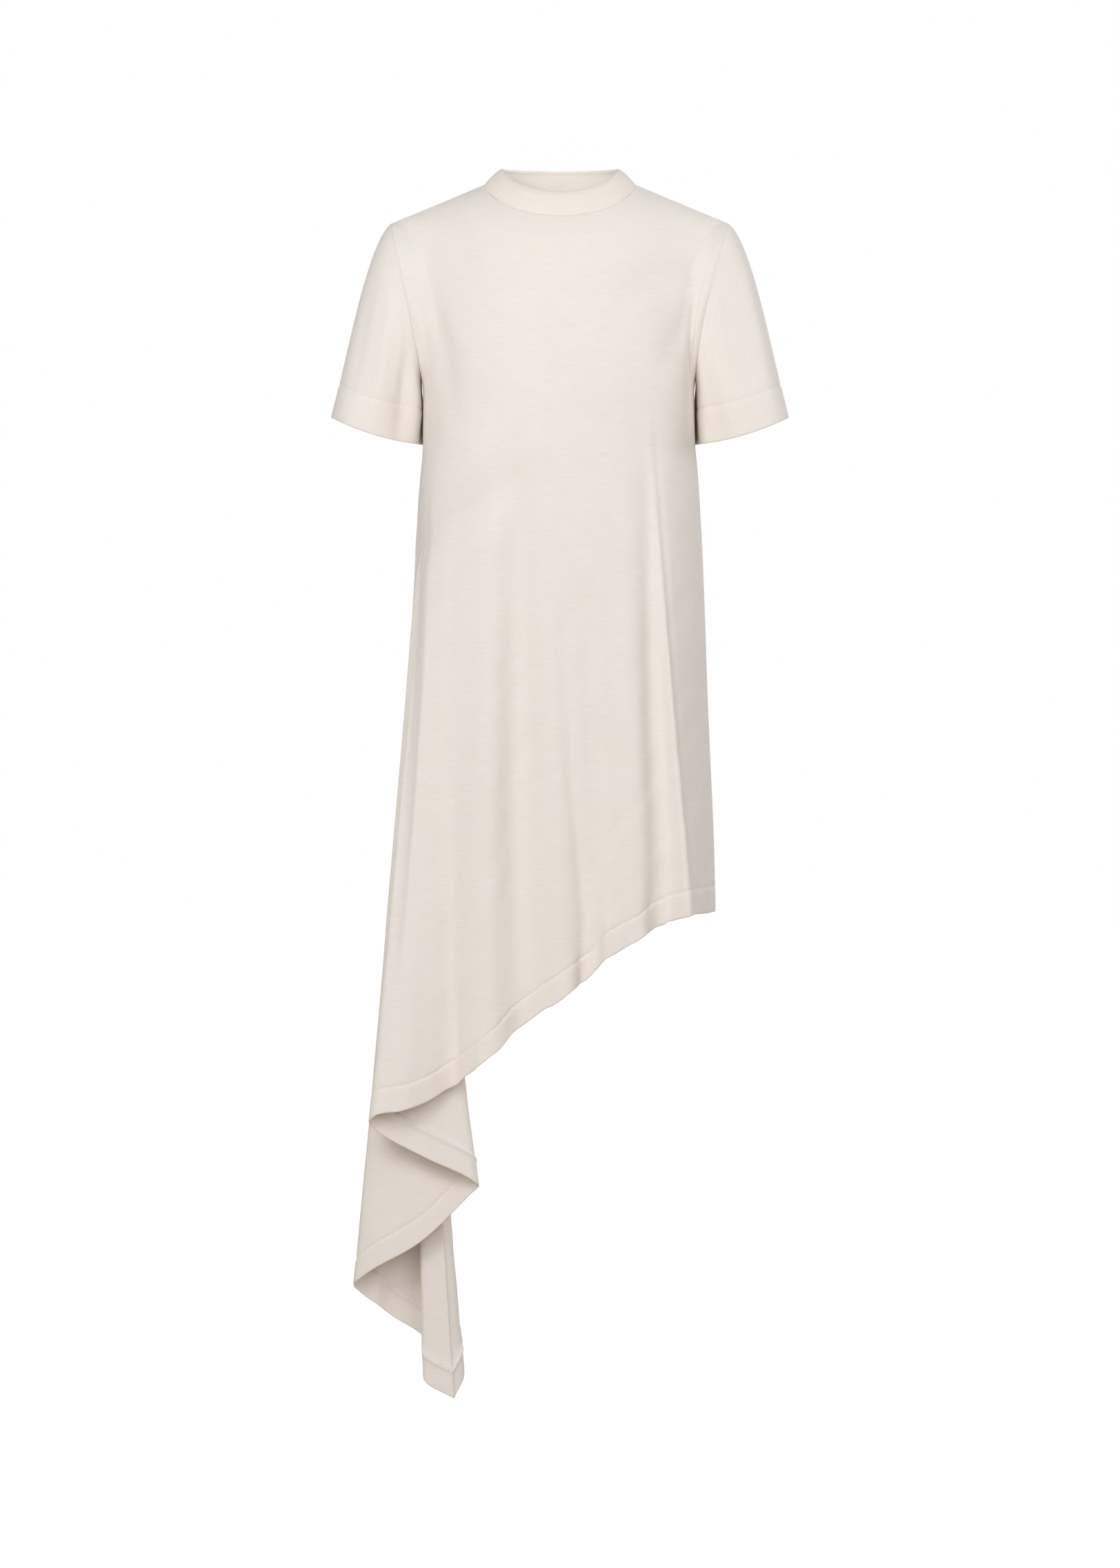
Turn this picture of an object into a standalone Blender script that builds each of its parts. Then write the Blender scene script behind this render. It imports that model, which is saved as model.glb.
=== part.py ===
"""T-shirt dress with a diagonal hem, worn and hanging free: five cut pieces of cotton jersey.

+X is the wearer's left, -Y the front, +Z up, in metres. The origin lies midway between the two neck
points, where the shoulders carry the dress. The short side hangs at +X. The long side at -X flares,
and its spare width falls in doubled-back folds in front of and behind the long side seam.
"""

from typing import NamedTuple

import bpy
import numpy as np

for old in list(bpy.data.objects):
    bpy.data.objects.remove(old, do_unlink=True)

# ---------------------------------------------------------------------------------- cloth and seams

PLY = 0.0012  # one layer of jersey
BAND_PLY = 0.0024  # the neckband, and each turned-up hem, has two layers
SEAM_GAP = 0.0004
BODY_HEM_DROP = 0.034  # upright depth of the turned-up body hem
SLEEVE_HEM_DROP = 0.040
HEM_STEP = 0.003  # height over which a hem's second layer starts

# ------------------------------------------------------------------------------- neck and shoulders

NECK_HALF_WIDTH = 0.090
NECK_FRONT_REACH = 0.068
NECK_BACK_REACH = 0.062
NECK_POINT_Z = 0.002
NECK_FRONT_DROP = 0.037
NECK_BACK_DROP = 0.011
NECK_DROP_POWER = 1.2

BAND_TOP_HALF_WIDTH = 0.071
BAND_TOP_FRONT_REACH = 0.056
BAND_TOP_BACK_REACH = 0.058
BAND_TOP_SIDE_Z = 0.0205
BAND_TOP_FRONT_Z = -0.0070
BAND_TOP_BACK_Z = 0.0175
BAND_TOP_POWER = 1.2
BAND_BULGE = 0.0016  # the band's middle stands out from a straight slope

SHOULDER_TIP_X = 0.201
SHOULDER_TIP_Z = -0.044

# --------------------------------------------------------------------------- armholes and sleeves

UNDERARM_X = {1: 0.1610, -1: 0.1642}  # wearer's left and right
UNDERARM_Z = -0.232
ARMHOLE_FRONT_REACH = 0.052
ARMHOLE_BACK_REACH = 0.056
ARMHOLE_BOW = {1: 1.55, -1: 1.05}  # how soon the seam runs inwards, wearer's left and right

SLEEVE_HEM_OUTER = (0.2710, -0.0100, -0.2750)  # the hem's outer end, at +X
SLEEVE_HEM_INNER = {1: (0.1606, 0.0320, -0.3070), -1: (0.1628, 0.0320, -0.3070)}  # just clear of the side
SLEEVE_HEM_REACH = 0.064  # half depth, front to back
SLEEVE_HEM_BOW = 0.005  # how far the hem sags in front and behind
SLEEVE_HANG = (0.27, 0.03, -0.97)  # the way the sleeve's top points at its hem
UNDERARM_HANG = (0.0, 0.03, -0.97)  # and its underside
CAP_LIFT = 0.90  # how far the sleeve's top leaves the shoulder outwards before it falls
UNDERARM_LIFT = 0.45  # and how far its underside leaves the body
CAP_EASE = 0.30

# Angles round the body: 0 at centre front, 90 at the wearer's left side, -90 at the right side.
NECK_ANGLE = 34.0  # columns inside this rise to the neckline
SHOULDER_ANGLE = 58.0  # columns from here to the side seam rise to the armhole
SIDE_ANGLE = 90.0

# -------------------------------------------------------------------------------- the body's form


class Section(NamedTuple):
    """One level round of the dress below the arms, before its folds open."""

    z: float
    left: float  # half width at +X
    right: float  # half width at -X
    front: float
    back: float
    square: float  # 2 is an ellipse, more is squarer


SECTIONS = (
    Section(-0.232, 0.1588, 0.1627, 0.1225, 0.0980, 2.3),
    Section(-0.262, 0.1594, 0.1625, 0.1230, 0.0985, 2.3),
    Section(-0.307, 0.1604, 0.1625, 0.1235, 0.0985, 2.3),
    Section(-0.340, 0.1635, 0.1645, 0.1225, 0.0975, 2.4),
    Section(-0.440, 0.1695, 0.1720, 0.1205, 0.0960, 2.5),
    Section(-0.600, 0.1755, 0.1770, 0.1185, 0.0960, 2.7),
    Section(-0.860, 0.1850, 0.1800, 0.1160, 0.0980, 2.9),
    Section(-1.440, 0.1850, 0.1800, 0.1160, 0.0980, 2.9),
)
CHEST_ROW_Z = -0.262


class Fold(NamedTuple):
    """One fold line: where it starts on the section above, and where it ends at the hem."""

    name: str
    angle: float
    start: float  # height where it begins to open
    x: float
    y: float
    z: float
    turn: float = 0.0  # radius where the cloth doubles back, minus where the turn points to +X


FOLD_POWER = 1.3  # folds open slowly at first
TURN_ANGLE = 0.9  # the round turn's own share of the angle, either way
ANGLE_SLACK = 0.01

# Both tables run along the hem from the long side seam to the short side seam.
FRONT_FOLDS = (
    Fold("long side seam", -90.0, -0.42, -0.1265, -0.0470, -1.4390),
    Fold("tail edge", -87.0, -0.42, -0.1620, -0.0370, -1.4150),
    Fold("tail root", -84.0, -0.42, -0.1600, -0.0010, -1.3740),
    Fold("fourth layer", -81.6, -0.42, -0.2000, -0.0060, -1.3420),
    Fold("third fold", -79.2, -0.42, -0.2450, -0.0310, -1.3050, 0.011),
    Fold("third layer", -76.8, -0.42, -0.1660, -0.0610, -1.2530),
    Fold("second fold", -74.4, -0.42, -0.0968, -0.0720, -1.1865, -0.007),
    Fold("second layer", -72.0, -0.42, -0.1600, -0.0860, -1.1520),
    Fold("first fold", -69.6, -0.42, -0.2265, -0.1000, -1.1103, 0.010),
    Fold("long side ridge", -60.0, -0.34, -0.1910, -0.1120, -1.0963),
    Fold("long side slope", -47.0, -0.34, -0.1570, -0.1010, -1.0849),
    Fold("outer trough", -38.0, -0.50, -0.1310, -0.0930, -1.0693),
    Fold("outer ridge", -21.0, -0.22, -0.0840, -0.1130, -1.0330),
    Fold("middle trough", -10.5, -0.22, -0.0440, -0.0960, -0.9950),
    Fold("middle ridge", -2.0, -0.30, 0.0080, -0.1120, -0.9590),
    Fold("inner trough", 5.5, -0.40, 0.0330, -0.0980, -0.9380),
    Fold("inner ridge", 13.0, -0.40, 0.0620, -0.1120, -0.9120),
    Fold("short side ridge", 22.0, -0.25, 0.0960, -0.1140, -0.8920),
    Fold("short side trough", 33.0, -0.25, 0.1300, -0.0960, -0.8720),
    Fold("short side edge", 37.5, -0.25, 0.1530, -0.1120, -0.8655),
    Fold("short side crease", 40.5, -0.25, 0.1620, -0.0920, -0.8635),
    Fold("short side panel", 66.0, -0.25, 0.1800, -0.0350, -0.8622),
    Fold("short side seam", 90.0, -0.25, 0.1845, 0.0150, -0.8618),
)
BACK_FOLDS = (
    Fold("long side seam", -90.0, -0.42, -0.1265, -0.0470, -1.4390),
    Fold("tail far edge", -92.6, -0.42, -0.1148, -0.0300, -1.4137),
    Fold("tail far root", -95.4, -0.42, -0.1210, 0.0140, -1.3780),
    Fold("sixth fold", -99.4, -0.42, -0.2230, 0.0300, -1.3110, 0.007),
    Fold("fifth fold", -103.4, -0.42, -0.1320, 0.0470, -1.2450, -0.006),
    Fold("fourth fold", -107.4, -0.42, -0.2270, 0.0620, -1.1820, 0.006),
    Fold("third fold", -111.4, -0.42, -0.1620, 0.0770, -1.1400, -0.006),
    Fold("second fold", -115.4, -0.42, -0.2230, 0.0920, -1.1000, 0.007),
    Fold("long side ridge", -126.0, -0.40, -0.1850, 0.1050, -1.0740),
    Fold("long side trough", -139.0, -0.40, -0.1320, 0.0930, -1.0450),
    Fold("outer ridge", -152.0, -0.40, -0.0830, 0.1070, -1.0180),
    Fold("middle trough", -167.0, -0.45, -0.0350, 0.0930, -0.9830),
    Fold("middle ridge", -181.0, -0.40, 0.0130, 0.1080, -0.9480),
    Fold("inner trough", -196.0, -0.40, 0.0600, 0.0930, -0.9090),
    Fold("inner ridge", -211.0, -0.36, 0.1020, 0.1060, -0.8850),
    Fold("short side trough", -227.0, -0.36, 0.1420, 0.0910, -0.8670),
    Fold("short side slope", -246.0, -0.30, 0.1720, 0.0620, -0.8640),
    Fold("short side seam", -270.0, -0.25, 0.1845, 0.0150, -0.8618),
)


class Rise(NamedTuple):
    """The way a column of cloth leaves the panel's upper edge, as a share of its height."""

    angle: float  # from centre front, or from centre back
    inwards: float
    outwards: float  # towards -Y in front, +Y behind
    down: float


FRONT_RISES = (
    Rise(0.0, 0.00, 0.55, 0.70),
    Rise(18.0, 0.00, 0.62, 0.55),
    Rise(NECK_ANGLE, 0.00, 0.85, 0.20),
    Rise(SHOULDER_ANGLE, 0.55, 0.62, 0.22),
    Rise(66.0, 0.62, 0.36, 0.45),
    Rise(76.0, 0.60, 0.14, 0.70),
    Rise(SIDE_ANGLE, 0.25, 0.00, 0.90),
)
BACK_RISES = (
    Rise(0.0, 0.00, 0.70, 0.55),
    Rise(18.0, 0.00, 0.75, 0.45),
    Rise(NECK_ANGLE, 0.00, 0.90, 0.20),
    Rise(SHOULDER_ANGLE, 0.55, 0.62, 0.22),
    Rise(66.0, 0.62, 0.36, 0.45),
    Rise(76.0, 0.60, 0.14, 0.70),
    Rise(SIDE_ANGLE, 0.25, 0.00, 0.90),
)
# Guide columns above the chest, as angles from centre front or back: neck, shoulder, armhole.
NECK_GUIDES = (0.0, 9.0, 18.0, 26.0, NECK_ANGLE)
SHOULDER_GUIDES = (42.0, 50.0, SHOULDER_ANGLE)
ARMHOLE_GUIDES = (62.0, 66.0, 70.5, 75.0, 80.0, 85.0, SIDE_ANGLE)
YOKE_GUIDES = NECK_GUIDES + SHOULDER_GUIDES + ARMHOLE_GUIDES
EASE_ROUNDS = 6  # rounds of evening out between neighbouring guides
EASE_SHARE = 0.5
EDGE_FADE = 10  # how soon a column leaves its own edge point for the evened cloth

# ------------------------------------------------------------------------------------ mesh density

HEM_SPACING = 0.021
LEAST_SPACING = 0.0042  # no two columns lie closer than this at the hem
HEM_SAMPLES = 4000  # fine steps along the hem, for finding where the corner columns fall
ANGLE_SPACING = 4.6
ARMHOLE_ANGLE_SPACING = 2.8
UPPER_SHARE = 0.8
UPPER_ROWS = 8
SPLIT_ROW = UPPER_ROWS + 2  # above this row only every few columns go on up
LOWER_ROWS = 13
SLEEVE_ROWS = 8
BAND_ROWS = 4
HEM_ROWS = 2  # the last rows of a body panel or a sleeve, where the cloth is doubled

CLOTH_COLOURS = {
    "front_panel": (0.828, 0.762, 0.703, 1.0),
    "back_panel": (0.800, 0.730, 0.665, 1.0),
    "left_sleeve": (0.828, 0.762, 0.703, 1.0),
    "right_sleeve": (0.828, 0.762, 0.703, 1.0),
    "neckband": (0.855, 0.790, 0.730, 1.0),
}
CLOTH_ROUGHNESS = 0.88
SHARP_ANGLE = 0.9


def unit(vectors):
    return vectors / np.maximum(np.linalg.norm(vectors, axis=-1, keepdims=True), 1e-12)


def smooth_through(knots, values, at):
    """A curve through values at knots that never swings past them."""
    steps = np.diff(knots)
    rises = np.diff(values, axis=0) / steps[:, None]
    before, after = rises[:-1], rises[1:]
    weight_before = (2 * steps[1:] + steps[:-1])[:, None]
    weight_after = (steps[1:] + 2 * steps[:-1])[:, None]
    same_way = before * after > 0
    safe_before = np.where(same_way, before, 1.0)
    safe_after = np.where(same_way, after, 1.0)
    mean = (weight_before + weight_after) / (weight_before / safe_before + weight_after / safe_after)
    slopes = np.vstack([rises[:1], np.where(same_way, mean, 0.0), rises[-1:]])
    index = np.clip(np.searchsorted(knots, at, side="right") - 1, 0, len(steps) - 1)
    length = steps[index][:, None]
    t = ((at - knots[index]) / steps[index])[:, None]
    leave = slopes[index] * length
    arrive = slopes[index + 1] * length
    return hermite(values[index], leave, values[index + 1], arrive, t)


def hermite(start, leave, end, arrive, t):
    return (
        (2 * t**3 - 3 * t**2 + 1) * start
        + (t**3 - 2 * t**2 + t) * leave
        + (3 * t**2 - 2 * t**3) * end
        + (t**3 - t**2) * arrive
    )


# --------------------------------------------------------------------------------- the body's cloth


def section_point(angle, z):
    """The plain form of the body at an angle and a height."""
    heights = [-section.z for section in SECTIONS]
    left, right, front, back, square = (
        np.interp(-z, heights, [getattr(section, key) for section in SECTIONS])
        for key in ("left", "right", "front", "back", "square")
    )
    across = np.sin(np.radians(angle))
    forward = np.cos(np.radians(angle))
    half_width = np.where(across > 0, left, right)
    reach = np.where(forward > 0, front, back)
    x = half_width * np.sign(across) * np.abs(across) ** (2 / square)
    y = -reach * np.sign(forward) * np.abs(forward) ** (2 / square)
    return np.stack([x, y, z], axis=-1)


def hem_line(folds, face):
    """Rows of angle, start, x, y and z along the hem, each doubled-back fold drawn as a round turn."""
    rows = []
    for fold in folds:
        if not fold.turn:
            rows.append((fold.angle, fold.start, fold.x, fold.y, fold.z))
            continue
        radius = abs(fold.turn)
        way = face * TURN_ANGLE
        for side in (-1, 0, 1):
            rows.append(
                (
                    fold.angle - side * way,
                    fold.start,
                    fold.x + abs(side) * fold.turn,
                    fold.y + side * face * radius,
                    fold.z + side * radius,
                )
            )
    return np.array(rows)


def hem_columns(folds, face):
    """The same rows for every column of the panel, close enough together to show its folds."""
    rows = hem_line(folds, face)
    steps = np.linalg.norm(np.diff(rows[:, 2:4], axis=0), axis=1)
    along = np.concatenate([[0.0], np.cumsum(steps)])
    places = [0.0]
    for i, step in enumerate(steps):
        turned = abs(rows[i + 1, 0] - rows[i, 0])
        beside = from_centre((rows[i + 1, 0] + rows[i, 0]) / 2) > SHOULDER_ANGLE
        spacing = ARMHOLE_ANGLE_SPACING if beside else ANGLE_SPACING
        parts = int(np.ceil(max(step / HEM_SPACING, turned / spacing)))
        places.extend(along[i] + step * (part + 1) / parts for part in range(parts))
    dense = np.linspace(0.0, along[-1], HEM_SAMPLES)
    turned = np.abs(smooth_through(along, rows[:, :1], dense)[:, 0] - rows[0, 0])
    corners = (
        SIDE_ANGLE - SHOULDER_ANGLE,
        SIDE_ANGLE - NECK_ANGLE,
        SIDE_ANGLE + NECK_ANGLE,
        SIDE_ANGLE + SHOULDER_ANGLE,
    )
    fixed = np.interp(corners, turned, dense)
    kept = [place for place in places if np.abs(fixed - place).min() > LEAST_SPACING]
    places = np.sort(np.concatenate([kept, fixed]))
    columns = smooth_through(along, rows, places)
    columns[np.searchsorted(places, fixed), 0] = rows[0, 0] - face * np.array(corners)
    return columns


def folded_point(columns, z):
    """Each column's point at its height z, between the plain section and the folded hem."""
    angle, start, x, y, hem_z = columns.T
    opened = np.clip((start - z) / (start - hem_z), 0.0, None) ** FOLD_POWER
    plain = section_point(angle, z)
    plain_at_hem = section_point(angle, hem_z)
    plain[:, 0] += (x - plain_at_hem[:, 0]) * opened
    plain[:, 1] += (y - plain_at_hem[:, 1]) * opened
    return plain


def from_centre(angle):
    """How far an angle lies from centre front or centre back, whichever is nearer."""
    turned = np.abs((angle + 180) % 360 - 180)
    return np.minimum(turned, 180 - turned)


def neck_point(angle):
    """The neck seam, where angle runs once round from centre front."""
    across = np.sin(np.radians(angle))
    forward = np.cos(np.radians(angle))
    reach = np.where(forward > 0, NECK_FRONT_REACH, NECK_BACK_REACH)
    drop = np.where(forward > 0, NECK_FRONT_DROP, NECK_BACK_DROP)
    z = NECK_POINT_Z - drop * np.abs(forward) ** NECK_DROP_POWER
    return np.stack([NECK_HALF_WIDTH * across, -reach * forward, z], axis=-1)


def armhole_point(side, share, face):
    """The armhole seam, share 0 at the shoulder tip and 1 at the underarm."""
    down = (1 - np.cos(np.pi * share)) / 2
    spread = (1 - down) ** ARMHOLE_BOW[side]
    reach = ARMHOLE_FRONT_REACH if face < 0 else ARMHOLE_BACK_REACH
    x = side * (UNDERARM_X[side] + (SHOULDER_TIP_X - UNDERARM_X[side]) * spread)
    y = face * reach * np.sin(np.pi * share)
    z = SHOULDER_TIP_Z + (UNDERARM_Z - SHOULDER_TIP_Z) * down
    return np.array([x, y, z])


def armhole_middle(side):
    return np.array([side * (SHOULDER_TIP_X + UNDERARM_X[side]) / 2, 0.0, (SHOULDER_TIP_Z + UNDERARM_Z) / 2])


def upper_edge(angle, face):
    """Where a column meets the neckline, the shoulder seam or the armhole."""
    turned = from_centre(angle)
    side = 1 if np.sin(np.radians(angle)) > 0 else -1
    if turned <= NECK_ANGLE:
        share = turned / NECK_ANGLE
        round_neck = share * 90 if face < 0 else 180 - share * 90
        return neck_point(np.array(side * round_neck))
    if turned <= SHOULDER_ANGLE:
        share = (turned - NECK_ANGLE) / (SHOULDER_ANGLE - NECK_ANGLE)
        neck = np.array([side * NECK_HALF_WIDTH, 0.0, NECK_POINT_Z])
        tip = np.array([side * SHOULDER_TIP_X, 0.0, SHOULDER_TIP_Z])
        return neck + (tip - neck) * share
    share = (turned - SHOULDER_ANGLE) / (SIDE_ANGLE - SHOULDER_ANGLE)
    return armhole_point(side, share, face)


def yoke(face, rises):
    """How far the cloth lies from its chest point, row by row from its upper edge, at each guide."""
    guides = np.array([-angle for angle in YOKE_GUIDES[:0:-1]] + list(YOKE_GUIDES))
    angle = guides if face < 0 else 180 - guides
    top = np.array([upper_edge(one, face) for one in angle])
    chest = section_point(angle, np.full(len(angle), CHEST_ROW_Z))
    below = section_point(angle, np.full(len(angle), CHEST_ROW_Z - HEM_STEP))
    height = np.linalg.norm(chest - top, axis=1)[:, None]
    rise_angles = [rise.angle for rise in rises]
    inwards, outwards, down = (
        np.interp(np.abs(guides), rise_angles, [getattr(rise, key) for rise in rises])
        for key in ("inwards", "outwards", "down")
    )
    leave = np.stack([-np.sign(guides) * inwards, face * outwards, -down], axis=1) * height
    arrive = unit(below - chest) * height
    shares = np.arange(UPPER_ROWS + 1) / UPPER_ROWS
    away = np.array([hermite(top, leave, chest, arrive, share) - chest for share in shares])
    ease = EASE_SHARE * np.sqrt(shares[1:-1, None, None]) * (height[1:-1] / height.max()) ** 2
    for _ in range(EASE_ROUNDS):
        across = (away[1:-1, :-2] + away[1:-1, 2:]) / 2 - away[1:-1, 1:-1]
        away[1:-1, 1:-1] += across * ease
    return guides, away


def panel_grid(folds, face, rises):
    """Points of a body panel's outer face, row by row from the upper edge to the hem."""
    columns = hem_columns(folds, face)
    angle = columns[:, 0]
    count = len(columns)
    chest = folded_point(columns, np.full(count, CHEST_ROW_Z))
    below = folded_point(columns, np.full(count, CHEST_ROW_Z - HEM_STEP))
    top = np.array([upper_edge(one, face) for one in angle])
    guides, away = yoke(face, rises)
    place = np.sign(np.sin(np.radians(angle))) * from_centre(angle)
    even = [smooth_through(guides, row, place) for row in away]
    own = top - chest - even[0]
    rows = [chest + even[row] + own * (1 - row / UPPER_ROWS) ** EDGE_FADE for row in range(UPPER_ROWS)]
    hem_z = columns[:, 4]
    hem_top = hem_z + BODY_HEM_DROP
    for row in range(LOWER_ROWS):
        share = row / (LOWER_ROWS - 1)
        rows.append(folded_point(columns, CHEST_ROW_Z + (hem_top + HEM_STEP - CHEST_ROW_Z) * share))
    rows.append(folded_point(columns, hem_top))
    rows.append(folded_point(columns, hem_z))
    return angle, np.array(rows)


def upper_columns(angle):
    """The columns that go on above the split row: both edges, the corners and some between."""
    turned = from_centre(angle)
    corner = np.isclose(turned, NECK_ANGLE) | np.isclose(turned, SHOULDER_ANGLE)
    corner[0] = corner[-1] = True
    fixed = np.flatnonzero(corner)
    chosen = [0]
    for first, last in zip(fixed[:-1], fixed[1:]):
        previous = first
        for column in range(first + 1, last):
            since = abs(angle[column] - angle[previous])
            ahead = abs(angle[last] - angle[column])
            beside = turned[column] > SHOULDER_ANGLE
            spacing = UPPER_SHARE * (ARMHOLE_ANGLE_SPACING if beside else ANGLE_SPACING)
            if since >= spacing and ahead >= spacing / 2:
                chosen.append(column)
                previous = column
        chosen.append(last)
    return np.array(chosen)


# ------------------------------------------------------------------------------ walls from points


class Piece:
    """One cut piece: a grid of points on its cloth, and the outward way at each of them."""

    def __init__(self, name, points, used, plies, closed=False):
        self.name = name
        self.points = points
        self.used = used  # the columns that each row has
        self.plies = plies  # the depth of the cloth at each row
        self.closed = closed
        if closed:
            across = np.roll(points, -1, axis=1) - np.roll(points, 1, axis=1)
        else:
            across = np.gradient(points, axis=1)
        self.outwards = unit(np.cross(np.gradient(points, axis=0), across))


def join_seam(places, tangents, middle=None):
    """Give the pieces that meet at a seam one shared outward way, and draw each back half the gap.

    The last piece of a meeting lies across the seam from the others. Round a ring with a middle, the
    shared way leads straight away from that middle.
    """
    for meeting, tangent in zip(places, tangents):
        piece, row, column, (next_row, next_column) = meeting[0]
        place = piece.points[row, column]
        if middle is None:
            shared = unit(sum(piece.outwards[row, column] for piece, row, column, _ in meeting))
        else:
            shared = unit(place - middle)
        shared = unit(shared - tangent * (shared @ tangent))
        apart = np.cross(tangent, shared)
        way = np.sign((piece.points[next_row, next_column] - place) @ apart)
        for piece, row, column, _ in meeting:
            side = -way if piece is meeting[-1][0] else way
            piece.outwards[row, column] = shared
            piece.points[row, column] += apart * side * SEAM_GAP / 2


def wall_object(piece):
    """The closed solid between a piece's outer and inner face."""
    rows, count = piece.points.shape[:2]
    outer = piece.points + piece.outwards * PLY / 2
    inner = piece.points - piece.outwards * (piece.plies[:, None, None] - PLY / 2)
    index = np.zeros((rows, count, 2), int)
    vertices = []
    for row in range(rows):
        for column in piece.used[row]:
            index[row, column] = len(vertices), len(vertices) + 1
            vertices += [outer[row, column], inner[row, column]]
    faces = []

    def spans(row):
        ends = list(piece.used[row])
        wrap = [(ends[-1], ends[0])] if piece.closed else []
        return list(zip(ends[:-1], ends[1:])) + wrap

    for row in range(rows - 1):
        for first, last in spans(row):
            inside = [c for c in piece.used[row + 1] if first < c < last]
            below = [index[row + 1, c] for c in (first, *inside, last)]
            loop = np.array([index[row, last], index[row, first], *below])
            faces += [loop[:, 0], loop[::-1, 1]]
    for row, way in ((0, 1), (rows - 1, -1)):
        for first, last in spans(row):
            start, end = index[row, first], index[row, last]
            faces.append(np.array([start[0], end[0], end[1], start[1]])[::way])
    if not piece.closed:
        for column, way in ((0, -1), (count - 1, 1)):
            for row in range(rows - 1):
                start, end = index[row, column], index[row + 1, column]
                faces.append(np.array([start[0], end[0], end[1], start[1]])[::way])

    mesh = bpy.data.meshes.new(piece.name)
    mesh.from_pydata([tuple(vertex) for vertex in vertices], [], [face.tolist() for face in faces])
    mesh.shade_smooth()
    mesh.set_sharp_from_angle(angle=SHARP_ANGLE)
    made = bpy.data.objects.new(piece.name, mesh)
    bpy.context.scene.collection.objects.link(made)
    made.data.materials.append(jersey(piece.name))
    return made


def jersey(name):
    material = bpy.data.materials.new(name + "_jersey")
    material.use_nodes = True
    shader = material.node_tree.nodes["Principled BSDF"]
    shader.inputs["Base Color"].default_value = CLOTH_COLOURS[name]
    shader.inputs["Roughness"].default_value = CLOTH_ROUGHNESS
    shader.inputs["Metallic"].default_value = 0.0
    return material


# ------------------------------------------------------------------------------------- the panels


def body_panel(name, folds, face, rises):
    """The front or back panel, its columns running round the body the same way: long, short, long."""
    angle, points = panel_grid(folds, face, rises)
    if face > 0:
        angle, points = angle[::-1], points[:, ::-1]
    above = upper_columns(angle)
    every = np.arange(len(angle))
    used = [above if row < SPLIT_ROW else every for row in range(len(points))]
    plies = np.full(len(points), PLY)
    plies[-HEM_ROWS:] = BAND_PLY
    return angle, above, Piece(name, points, used, plies)


def sleeve(name, side, ring, shares):
    """A set-in sleeve from its armhole ring to its hem. shares run once round from the shoulder tip."""
    armhole = meeting_points(ring)
    mirrored = np.array([side, 1, 1])
    outer = mirrored * SLEEVE_HEM_OUTER
    inner = mirrored * SLEEVE_HEM_INNER[side]
    turn = 2 * np.pi * shares[:, None]
    underneath = ((1 - np.cos(turn)) / 2) ** 2
    deep = np.array([0.0, side * SLEEVE_HEM_REACH, 0.0])
    sag = np.array([0.0, 0.0, -SLEEVE_HEM_BOW])
    hem = (outer + inner) / 2 + (outer - inner) / 2 * np.cos(turn) + deep * np.sin(turn)
    hem += sag * np.sin(turn) ** 2
    length = np.linalg.norm(hem - armhole, axis=1)[:, None]
    hanging = np.array(SLEEVE_HANG) * (1 - underneath) + np.array(UNDERARM_HANG) * underneath
    hang = unit(mirrored * hanging)
    lift = np.where(np.cos(turn) > 0, CAP_LIFT, -UNDERARM_LIFT) * np.cos(turn)
    out = np.array([side, 0.0, 0.0])
    leave = (hang + out * lift) * length * CAP_EASE
    arrive = hang * length
    rows = []
    for row in range(SLEEVE_ROWS):
        share = row / (SLEEVE_ROWS - 1) * (1 - (SLEEVE_HEM_DROP + HEM_STEP) / length)
        rows.append(hermite(armhole, leave, hem, arrive, share))
    rows.append(hermite(armhole, leave, hem, arrive, 1 - SLEEVE_HEM_DROP / length))
    rows.append(hem)
    every = np.arange(len(shares))
    plies = np.full(len(rows), PLY)
    plies[-HEM_ROWS:] = BAND_PLY
    return Piece(name, np.array(rows), [every] * len(rows), plies, closed=True)


def neck_band(name, ring, angles):
    """The folded strip round the neck, from its top fold down to the neck seam."""
    seam = meeting_points(ring)
    across = np.sin(np.radians(angles))
    forward = np.cos(np.radians(angles))
    reach = np.where(forward > 0, BAND_TOP_FRONT_REACH, BAND_TOP_BACK_REACH)
    middle_z = np.where(forward > 0, BAND_TOP_FRONT_Z, BAND_TOP_BACK_Z)
    top_z = BAND_TOP_SIDE_Z + (middle_z - BAND_TOP_SIDE_Z) * np.abs(forward) ** BAND_TOP_POWER
    top = np.stack([BAND_TOP_HALF_WIDTH * across, -reach * forward, top_z], axis=-1)
    out = np.stack([across, -forward, np.zeros(len(angles))], axis=-1)
    rows = []
    for row in range(BAND_ROWS + 1):
        share = row / BAND_ROWS
        rows.append(top + (seam - top) * share + out * BAND_BULGE * np.sin(np.pi * share))
    every = np.arange(len(angles))
    plies = np.full(len(rows), BAND_PLY)
    return Piece(name, np.array(rows), [every] * len(rows), plies, closed=True)


def meeting_points(ring):
    return np.array([np.mean([p.points[r, c] for p, r, c in meeting], axis=0) for meeting in ring])


# ---------------------------------------------------------------------------------------- assembly

front_angle, front_above, front = body_panel("front_panel", FRONT_FOLDS, -1, FRONT_RISES)
back_angle, back_above, back = body_panel("back_panel", BACK_FOLDS, 1, BACK_RISES)


def zone(angle, above, least, most, side):
    """A panel's columns on one side whose angle from the centre lies between two corners."""
    turned = from_centre(angle[above])
    inside = (turned > least - ANGLE_SLACK) & (turned < most + ANGLE_SLACK)
    return above[inside & (side * np.sin(np.radians(angle[above])) >= 0)]


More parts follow.
